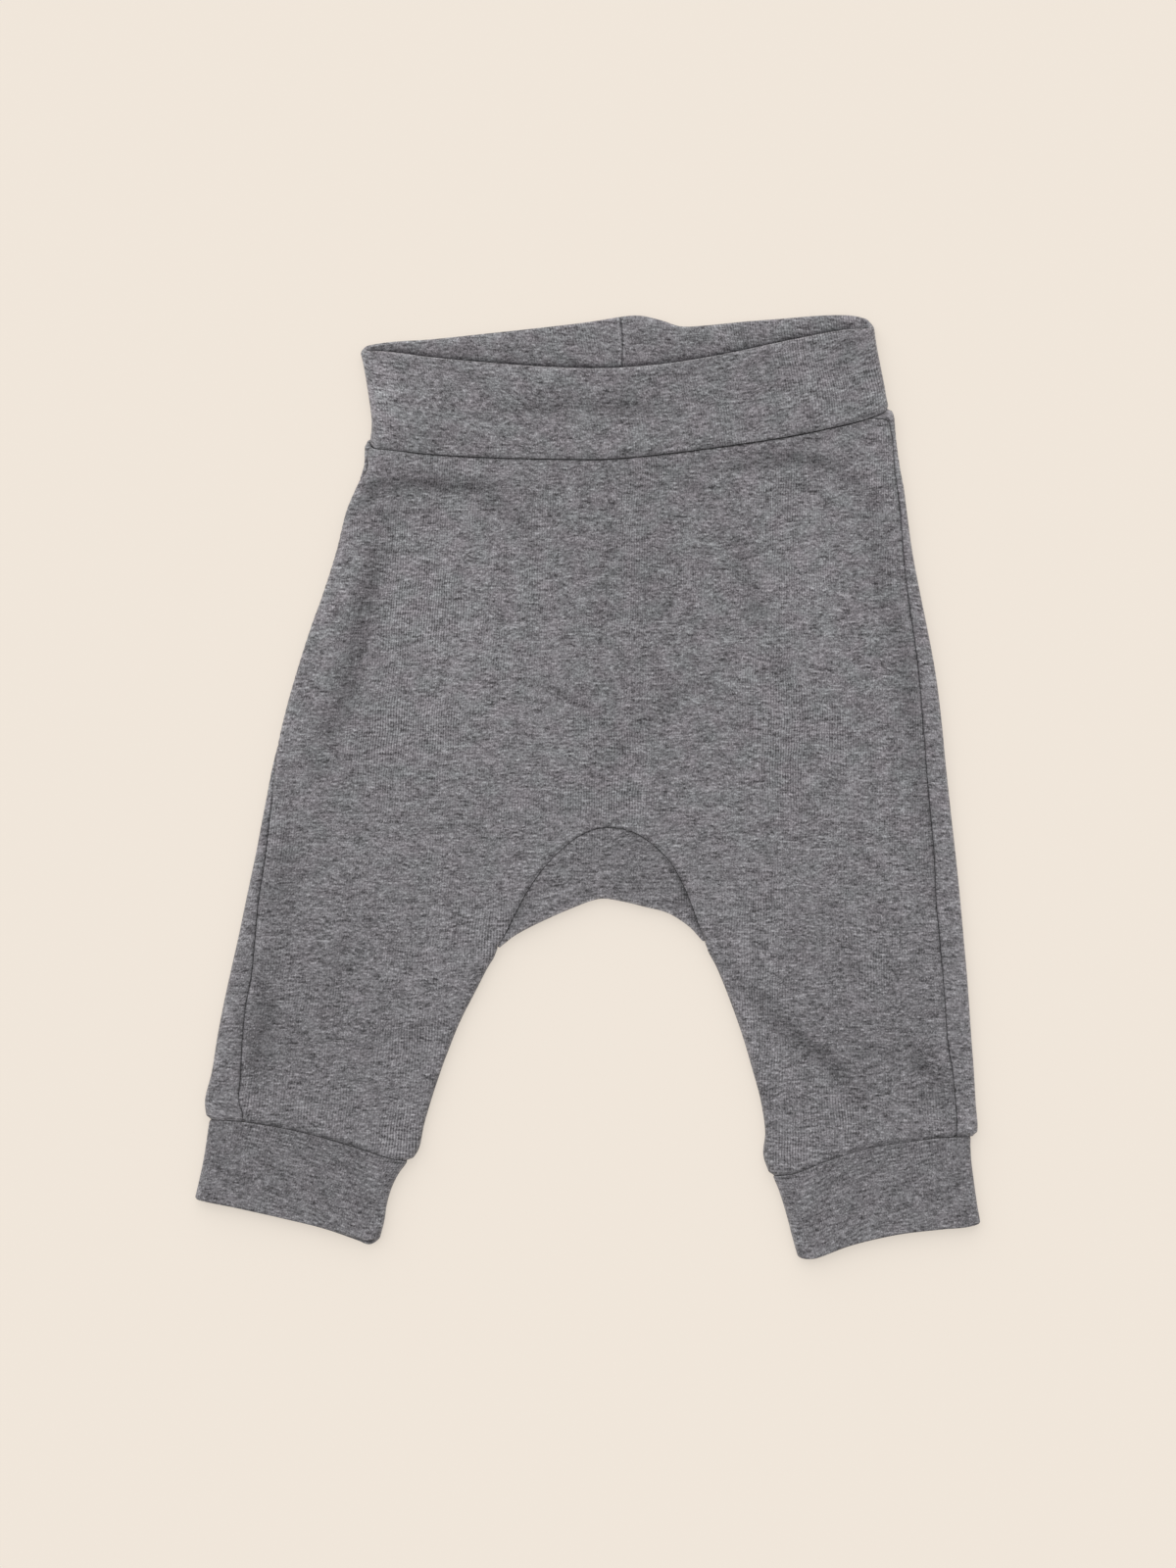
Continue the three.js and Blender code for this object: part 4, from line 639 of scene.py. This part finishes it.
def panel(name, back):
    # the front panel's creases also get painted shade in their troughs
    c = Cloth(); c.rows = None if back else TOP_CREASES; ids = []; inner = []
    for h in HALVES:
        P, Q, way = panel_half(h, back)
        left_d, right_d = lengths(P, 1); top_d, bottom_d = lengths(P, 0)
        rows = np.arange(len(V))[:, None]
        far = np.full(P.shape[:2], 99.0)
        right_d = np.where(rows < APEX_ROW, np.hypot(right_d, np.linalg.norm(P[APEX_ROW, -1] - P[:, -1], axis=-1)[:, None]), right_d)
        fade = 0.15 + 0.85 * np.clip((P[..., 0] + 78.5) / 5, 0, 1)          # the waist seam closes up at the right side
        edges = [(left_d, top_d, 0.45, 0.5, 0.16, 2.2), (top_d, left_d, 0.46 * fade, 0.0, 0.25, 3.0),
                 (bottom_d, left_d, 0.40, 0.0, 0.85, 6.5), (right_d, top_d, 0.50, 0.0, 0.30, 3.0)]
        uv = grain(P, way)
        P2, dark = seam_shape(P, Q, edges, 60 + 7 * h.side + 13 * back)
        out = nearest(P[..., 0], P[..., 1], OUTLINE)[0]
        # painted highlight along the outer side folds, where the edges catch the light
        painted_light_and_shade = ((0.12 if h.side > 0 else 0.0) * np.exp(-((out / 1.3) ** 2)) + 0.065 * np.exp(-((out / 3.8) ** 2))) * (left_d < right_d)
        i = c.points(P2, uv, dark, painted_light_and_shade)
        if back: c.rib[-1] = c.rib[-1] - 1.2 * (P[..., 2] > 1.0).reshape(-1)      # where it turns up round the sides its wales lie closed
        Qc = Q[::COARSE, ::COARSE]; uvc = uv[::COARSE, ::COARSE]
        j = c.points(Qc, uvc, dark[::COARSE, ::COARSE])
        ids.append(i); inner.append(j)
    (iL, iR), (jL, jR) = ids, inner                      # the halves share their centre line
    iR[:APEX_ROW + 1, -1] = iL[:APEX_ROW + 1, -1]; a = APEX_ROW // COARSE
    jR[:a + 1, -1] = jL[:a + 1, -1]
    for i, j, flip in ((iL, jL, False), (iR, jR, True)):
        c.cells(i, flip); c.cells(j, not flip)
        c.rim(i[:, 0], j[:, 0], flip); c.rim(i[0], j[0], not flip)
        c.rim(i[-1], j[-1], flip); c.rim(i[APEX_ROW:, -1], j[a:, -1], not flip)
    return c.build(name, mat_body)

def fix_normals(ob):
    import bmesh
    bm = bmesh.new(); bm.from_mesh(ob.data); bmesh.ops.recalc_face_normals(bm, faces=bm.faces)
    if bm.calc_volume(signed=True) < 0: bmesh.ops.reverse_faces(bm, faces=bm.faces)
    bm.to_mesh(ob.data); bm.free()

front = panel("front_cloth", False); back = panel("back_cloth", True)

# ------------------------------------------------------------------ gusset
def gusset():
    n = 60
    f = np.linspace(-0.992, 0.992, 2 * n + 1)
    af = mix(APEX_FRONT, np.where(f < 0, 0.0, 1.0), np.abs(f)); ab = mix(APEX_BACK, np.where(f < 0, 0.0, 1.0), np.abs(f))
    cf = mix(0.5, np.where(f < 0, 0.0, 1.0), np.abs(f))
    F, B, C = front_arch(af), back_arch(ab), crotch_fold(cf)
    t = unit(crotch_fold(np.clip(cf + 0.01, 0, 1)) - crotch_fold(np.clip(cf - 0.01, 0, 1)))
    nrm = np.stack([-t[:, 1], t[:, 0]], -1)
    def way(p):
        l = np.linalg.norm(p - C, axis=-1); u = (p - C) / l[:, None]
        cos = np.clip(np.abs((u * nrm).sum(-1)), 0.5, 1)
        d = np.maximum(l - SEAM_GAP, 0.05) * cos
        s = np.where(d >= FOLD_R, d - FOLD_R + QUARTER, np.arccos(np.clip(1 - d / FOLD_R, -1, 1)) * FOLD_R)
        return u, cos, s
    uf, cf_, sf = way(F); ub, cb_, sb = way(B)
    g = 1 - graded(36, 0.4)[::-1]
    s1 = mix(sf[:, None], np.zeros((len(f), 1)), 1 - (1 - graded(36, 0.4)[::-1]) * 0 - (1 - graded(36, 0.4)))
    s1 = sf[:, None] * (1 - graded(36, 0.4)[None, :])
    s2 = -sb[:, None] * (1 - graded(24, 0.4)[::-1])[None, 1:]
    P = {}
    for deep in (0.0, JERSEY):
        a = fold_points(C[:, None], uf[:, None] * np.ones_like(s1)[..., None], cf_[:, None], s1, deep)
        b = fold_points(C[:, None], ub[:, None] * np.ones_like(s2)[..., None], cb_[:, None], s2, deep)
        P[deep] = np.concatenate([a, b], 1)
    A, Q = P[0.0], P[JERSEY]
    l, r = lengths(A, 1); tp, bt = lengths(A, 0)
    A2, dark = seam_shape(A, Q, [(l, tp, 0.5, 0.0, 0.0, 2.0), (r, tp, 0.5, 0.0, 0.1, 2.0)], 300)
    drop = (np.clip((np.abs(f) - 0.35) / 0.5, 0, 1) * np.where(f > 0, 1.0, 0.7))[:, None] * np.exp(-((l / 3.2) ** 2)) * 0.75
    dip = 0.55 * np.exp(-(((A[..., 0] - 18) / 7) ** 2) - (((A[..., 1] + 34) / 4.0) ** 2)) + 0.35 * np.exp(-(((A[..., 0] - 12) / 6) ** 2) - (((A[..., 1] + 25) / 3.0) ** 2))
    A2 = sink(A2, Q, np.where(A[..., 2] > FOLD_MID, np.minimum(drop + dip, 0.9), 0))
    c = Cloth(); c.shift = -0.22; fy = C[:, None, 1]
    y = np.where(np.concatenate([s1, s2], 1) >= 0, A[..., 1], 2 * fy - A[..., 1])
    uv = grain(np.stack([A[..., 0], y, A[..., 2]], -1))
    out = nearest(A[..., 0], A[..., 1], chain(crotch_fold(np.linspace(0, 1, 41))))[0]
    upper = A[..., 2] > FOLD_MID
    tips = np.clip((A[..., 0] - 22) / 10, 0, 1) + 0.6 * np.clip((-16 - A[..., 0]) / 8, 0, 1)
    # painted highlight along the crotch fold's edge; painted shade on the upper face beside the seam near the tips and
    # at a small fold
    painted_light_and_shade = 0.32 * np.exp(-((out / 1.5) ** 2)) - upper * (0.16 * tips * np.exp(-((l / 2.4) ** 2)) + 0.07 * np.exp(-(((A[..., 0] - 17) / 7) ** 2) - (((A[..., 1] + 36) / 3.2) ** 2)))
    i = c.points(A2, uv, dark, painted_light_and_shade); j = c.points(Q[::COARSE, ::COARSE], uv[::COARSE, ::COARSE], dark[::COARSE, ::COARSE])
    c.cells(i, False); c.cells(j, True)
    c.rim(i[:, 0], j[:, 0], False); c.rim(i[:, -1], j[:, -1], True); c.rim(i[0], j[0], True); c.rim(i[-1], j[-1], False)
    return c.build("gusset_cloth", mat_gusset)
gus = gusset()

# ------------------------------------------------------------------ waistband and cuffs
def tube(name, material, plan, lift, thick, wall, r, across, rows_up, seed, shade, swell, cb=None, edge_shade=None, shift=0.0, line=0.45, painted_seam_shade=0.03):
    """A flattened tube of cloth folded double at its free edge (station 1).
    plan(t, v, share, d): plan point. lift(x, y, share): extra height of that layer."""
    turns = np.radians(np.linspace(80, -80, 9))
    w = np.linspace(0, 1, across + 1); wb = w
    if cb is not None:                                   # finer columns at the closing seam of the under layer
        dense = 1 + 4.5 * np.exp(-(((w[1:] + w[:-1]) / 2 - 0.492) / 0.024) ** 4)
        wb = np.interp(w, np.concatenate([[0], np.cumsum(dense)]) / dense.sum(), w)
    T = np.concatenate([w, np.ones(9), wb[::-1], np.zeros(9)])
    SH = np.concatenate([np.ones(across + 1), (1 + np.sin(turns)) / 2, np.zeros(across + 1), (1 + np.sin(turns[::-1])) / 2])
    A = np.concatenate([np.full(across + 1, 9.0), turns, np.full(across + 1, 9.0), turns[::-1]])
    def at(v, deep, out=0.0):
        """v (rows,1), deep (rows,1): points (rows, cols, 3)"""
        v = v + 0 * T[None]; deep = deep + 0 * T[None]
        flat = A[None] > 5
        d = np.where(flat, r, r - (r - deep) * np.cos(A[None]))
        p = plan(T[None], v, SH[None], d)
        up = lift(p[..., 0], p[..., 1], 1.0); dn = lift(p[..., 0], p[..., 1], 0.0)
        top = thick + up; bot = dn
        mid = thick / 2
        z = np.where(flat, np.where(SH[None] > 0.5, top - deep, bot + deep),
                     np.where(SH[None] > 0.5, mid + (top - mid - deep) * np.sin(A)[None], mid + (mid - bot - deep) * np.sin(A)[None]))
        return np.concatenate([p, z[..., None]], -1)
    vs = graded(rows_up, 0.2)[:, None]
    outer = at(vs, np.zeros_like(vs))
    inner = at(vs[::-1], np.full_like(vs, wall))
    # rounded fold at the free edge
    e = unit(outer[-1] - outer[-4])
    ph = np.radians(np.linspace(90, -90, 10))[1:-1]
    rim = []
    for a in ph:
        q = mix(outer[-1], inner[0], (1 - math.sin(a)) / 2) + e * (wall / 2 * math.cos(a))
        rim.append(q)
    P = np.concatenate([outer, np.array(rim), inner], 0)
    n_out = len(vs)
    l_up, l_dn = lengths(P, 0); c_up, _ = lengths(np.concatenate([outer[:1], outer[:1]], 0), 1)
    around = np.broadcast_to(lengths(outer[n_out // 2:n_out // 2 + 1], 1)[0][0], P.shape[:2])
    # groove at the seam, on the outer face only
    rows = np.arange(P.shape[0])[:, None]
    d = np.where(rows < n_out, l_up, 99.0)
    wdir = np.zeros_like(P); wdir[:n_out] = at(vs, np.full_like(vs, wall)) - outer; wl = np.linalg.norm(wdir, axis=-1, keepdims=True)
    wdir = wdir / np.maximum(wl, 1e-9)
    uneven = 1 + 0.3 * value_noise(around, around * 0, 9.0, seed)
    if cb is not None: uneven = uneven * (0.15 + 0.85 * np.clip((P[..., 0] + 78.5) / 7, 0, 1))
    amount = groove(d, line, 0.5) * uneven - swelling(d, *swell) * (1 + 0.5 * value_noise(around, around * 0, 15.0, seed + 1))
    amount = amount - 0.07 * np.sin(2 * math.pi * around / 3.3 + 2 * value_noise(around, around * 0, 10.0, seed + 2)) * np.exp(-((d / 3.0) ** 2))
    P = P + wdir * amount[..., None]
    dark = np.exp(-((d / 0.30) ** 2)) * shade * uneven
    if cb is not None:                                   # the tube's own closing seam, on the under layer
        side = (SH[None] < 0.02)
        dx = np.abs(P[..., 0] - cb(l_up / l_up[-1:]))
        lip = P[..., 0] - cb(l_up / l_up[-1:])
        g = np.where(side, np.exp(-((dx / 0.30) ** 2)), 0)
        ridge = np.where(side, 0.42 * np.exp(-(((lip + 0.95) / 0.55) ** 2)) + 0.12 * np.exp(-(((lip - 1.3) / 1.0) ** 2)), 0)
        sign = np.where(rows < n_out, 1.0, -1.0) * np.where(side, 1, 0)      # outer face looks down, inner face up
        P[..., 2] += sign * 0.45 * g - sign * ridge
        dark = np.maximum(dark, 0.75 * np.where(side, np.exp(-((dx / 0.2) ** 2)), 0) * (1 + 0.4 * value_noise(P[..., 1], P[..., 1] * 0, 4.0, 77)))
    if edge_shade is not None: dark = np.maximum(dark, edge_shade(P, rows >= n_out, SH[None] < 0.5))
    up = l_up.copy()
    if cb is not None:                                   # inside the back the courses lie level
        level = (l_up - l_up[n_out:n_out + 1]) + 80 - P[n_out:n_out + 1, :, 1]
        up = np.where((rows >= n_out) & (SH[None] < 0.5), 260 + level, up)
    uv = np.stack([around, up], -1)
    total = float(around[0, -1] + np.linalg.norm(outer[n_out // 2, 0] - outer[n_out // 2, -1]))
    # the waistband's creases also get painted shade in their troughs
    c = Cloth(); c.shift = shift; c.rows = BAND_CREASES if cb is not None else None
    side_d = np.where(A[None] > 5, 9.0, r * (1 - np.cos(A[None])))
    free = l_up - l_up[n_out - 1:n_out]
    # painted highlights along the side folds and along the free edge
    painted_light_and_shade = 0.11 * np.exp(-((side_d / 1.3) ** 2)) + 0.05 * np.exp(-((free / 1.6) ** 2))
    # painted light on the back layer along its top fold and on its inside
    if cb is not None: painted_light_and_shade = painted_light_and_shade + (SH[None] < 0.5) * (rows >= n_out - 6) * (0.08 * np.exp(-((free / 1.6) ** 2)) + 0.13 * np.exp(-((free / 4.5) ** 2)))
    # painted shade on this piece beside its seam, under the lip of the piece above
    painted_light_and_shade = painted_light_and_shade - painted_seam_shade * np.exp(-((d / 1.6) ** 2))
    # painted highlight on the ridge beside the back's closing seam
    if cb is not None: painted_light_and_shade = painted_light_and_shade + np.where(side & (rows >= n_out), 0.13 * np.exp(-(((lip + 0.95) / 0.5) ** 2)) + 0.05 * np.exp(-(((lip - 1.0) / 0.9) ** 2)), 0)
    i = c.points(P, uv, dark, painted_light_and_shade)
    c.cells(i, False, wrap=True)
    a, b = i[0], i[-1]                                    # closing strip at the seam end
    q = np.stack([np.append(b, b[0])[:-1], np.append(b, b[0])[1:], np.append(a, a[0])[1:], np.append(a, a[0])[:-1]], -1)
    c.quads.append(q)
    return c.build(name, material, uv_wrap=total), total

def band_plan():
    right, left = read(BAND_SIDES, "at", "right"), read(BAND_SIDES, "at", "left")
    def plan(t, v, share, d):
        x = mix(right(v) + d, left(v) - d, t)
        seam, top = mix(seam_back(x), seam_front(x), share), mix(top_back(x), top_front(x), share)
        return np.stack([x, mix(seam + SEAM_GAP + 0.02, top - BAND_WALL / 2, v)], -1)
    return plan
def band_lift(x, y, share):
    if share > 0.5:
        up = creases(x, y, BAND_CREASES) + 0.16 * value_noise(x, y, 24, 71) + 0.09 * value_noise(x, y, 10, 72)
        edge = np.clip((y - top_front(x) + 11) / 11, 0, 1)
        return up + 1.1 * edge ** 1.5 * np.clip((x + 78) / 24, 0, 1) * np.clip((107 - x) / 16, 0, 1)
    return creases(x, y, BACK_BAND_CREASES) + 0.16 * (value_noise(x, y, 22, 75) + 0.7) + 0.08 * value_noise(x, y, 8, 76) * np.clip((y - top_front(x)) / 4, 0, 1)
def mouth(P, inner, under):
    """Shade on the back of the waistband's inside, close to the front's free edge."""
    d = P[..., 1] - top_front(P[..., 0])
    fade = np.clip((P[..., 0] + 80) / 4, 0, 1) * np.clip((101 - P[..., 0]) / 8, 0, 1)
    return np.where(inner & under, np.minimum(1.0 * np.exp(-np.maximum(d - 0.5, 0) / 0.8) + 0.16 * np.exp(-np.maximum(d, 0) / 3.2), 1) * fade, 0)
cb_line = Curve(np.array([0.0, 0.25, 0.45, 0.5, 0.62, 0.75, 1.0]), np.array([11.6, 11.9, 12.0, 12.1, 12.9, 12.8, 12.6]))
band, band_round = tube("waistband_cloth", mat_band, band_plan(), band_lift, BAND_THICK, BAND_WALL, BAND_R, 240, 48, 80, 0.12, (0.12, 3.0), cb=cb_line, edge_shade=mouth)

def cuff_plan(right):
    n = "right" if right else "left"
    tx, ty = read(HEMS, "at", n + "X"), read(HEMS, "at", n + "Y")
    ex, ey = read(CUFF_ENDS, "at", n + "X"), read(CUFF_ENDS, "at", n + "Y")
    eb = read(CUFF_ENDS, "at", "rightBackY") if right else ey
    bo, bi = read(CUFF_BOW, "at", n + "Outer"), read(CUFF_BOW, "at", n + "Inner")
    def plan(t, v, share, d):
        width = np.hypot(mix(tx(1.0) - tx(0.0), ex(1.0) - ex(0.0), v), mix(ty(1.0) - ty(0.0), ey(1.0) - ey(0.0), v))
        f = mix(d / width, 1 - d / width, t)
        x = mix(tx(f), ex(f), v) + mix(bo(v), bi(v), f)
        y = mix(ty(f) - SEAM_GAP - 0.02, mix(eb(f), ey(f), share) + CUFF_WALL / 2, v)
        return np.stack([x, y], -1)
    return plan
def cuff_lift(seed):
    def lift(x, y, share):
        if share > 0.5: return 0.16 * value_noise(x, y, 16, seed) + 0.09 * value_noise(x, y, 7, seed + 1)
        return 0.10 * (value_noise(x, y, 14, seed + 2) + 0.8)
    return lift
cuff_r, cuff_r_round = tube("cuff_right_cloth", mat_cuff, cuff_plan(True), cuff_lift(91), CUFF_THICK, CUFF_WALL, CUFF_R, 84, 42, 95, 0.0, (0.0, 3.0), shift=-0.30, line=0.3, painted_seam_shade=0.045)
cuff_l, cuff_l_round = tube("cuff_left_cloth", mat_cuff, cuff_plan(False), cuff_lift(111), CUFF_THICK, CUFF_WALL, CUFF_R, 84, 42, 115, 0.0, (0.0, 3.0), shift=-0.24, line=0.3, painted_seam_shade=0.03)

for ob in (front, back, gus, band, cuff_r, cuff_l): fix_normals(ob)
print("rounds", band_round, cuff_r_round, cuff_l_round, {o.name: len(o.data.polygons) for o in (front, back, gus, band, cuff_r, cuff_l)})

# ------------------------------------------------------------------ frame
for ob, node, slot in ((front, "front_panel", "body_jersey"), (back, "back_panel", "body_jersey"), (gus, "gusset", "gusset_jersey"),
                       (band, "waistband", "band_jersey"), (cuff_r, "cuff_right", "cuff_jersey"), (cuff_l, "cuff_left", "cuff_jersey")):
    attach(ob, "root"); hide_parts(node)

# ------------------------------------------------------------------ stage, light, camera
def stage():
    me = bpy.data.meshes.new("floor"); s = 4.0
    me.from_pydata([(-s, -s, 0), (s, -s, 0), (s, s, 0), (-s, s, 0)], [], [(0, 1, 2, 3)])
    ob = bpy.data.objects.new("floor", me); scene.collection.objects.link(ob)
    m = bpy.data.materials.new("pale_floor"); m.use_nodes = True
    b = m.node_tree.nodes["Principled BSDF"]
    glow = 0.6                                           # a light table: most of its light comes through it
    b.inputs["Base Color"].default_value = (0.871 * (1 - glow), 0.791 * (1 - glow), 0.701 * (1 - glow), 1); b.inputs["Roughness"].default_value = 0.9
    b.inputs["Emission Color"].default_value = (0.871, 0.791, 0.701, 1); b.inputs["Emission Strength"].default_value = glow
    b.inputs["Specular IOR Level"].default_value = 0.1
    me.materials.append(m); ob.location.z = -0.0001
    return ob
floor = stage()

world = bpy.data.worlds.new("studio"); scene.world = world; world.use_nodes = True
bg = world.node_tree.nodes["Background"]; bg.inputs[0].default_value = (1, 1, 1, 1); bg.inputs[1].default_value = 0.58
from mathutils import Vector
sun = bpy.data.lights.new("softbox", "SUN"); sun.energy = 2.02; sun.angle = math.radians(85)
sun_ob = bpy.data.objects.new("softbox", sun); scene.collection.objects.link(sun_ob)
sun_ob.rotation_euler = Vector((0.26, -0.70, -0.64)).to_track_quat("-Z", "Y").to_euler()

cam_data = bpy.data.cameras.new("camera"); cam_data.lens = 85; cam_data.sensor_width = 36; cam_data.clip_end = 20
cam = bpy.data.objects.new("camera", cam_data); scene.collection.objects.link(cam)
cam.location = (0.00034, 0.00088, 1.3336 + 0.0023); cam.rotation_euler = (0, 0, 0)
scene.camera = cam
scene.view_settings.view_transform = "Standard"; scene.view_settings.look = "None"
scene.view_settings.exposure = 0; scene.view_settings.gamma = 1
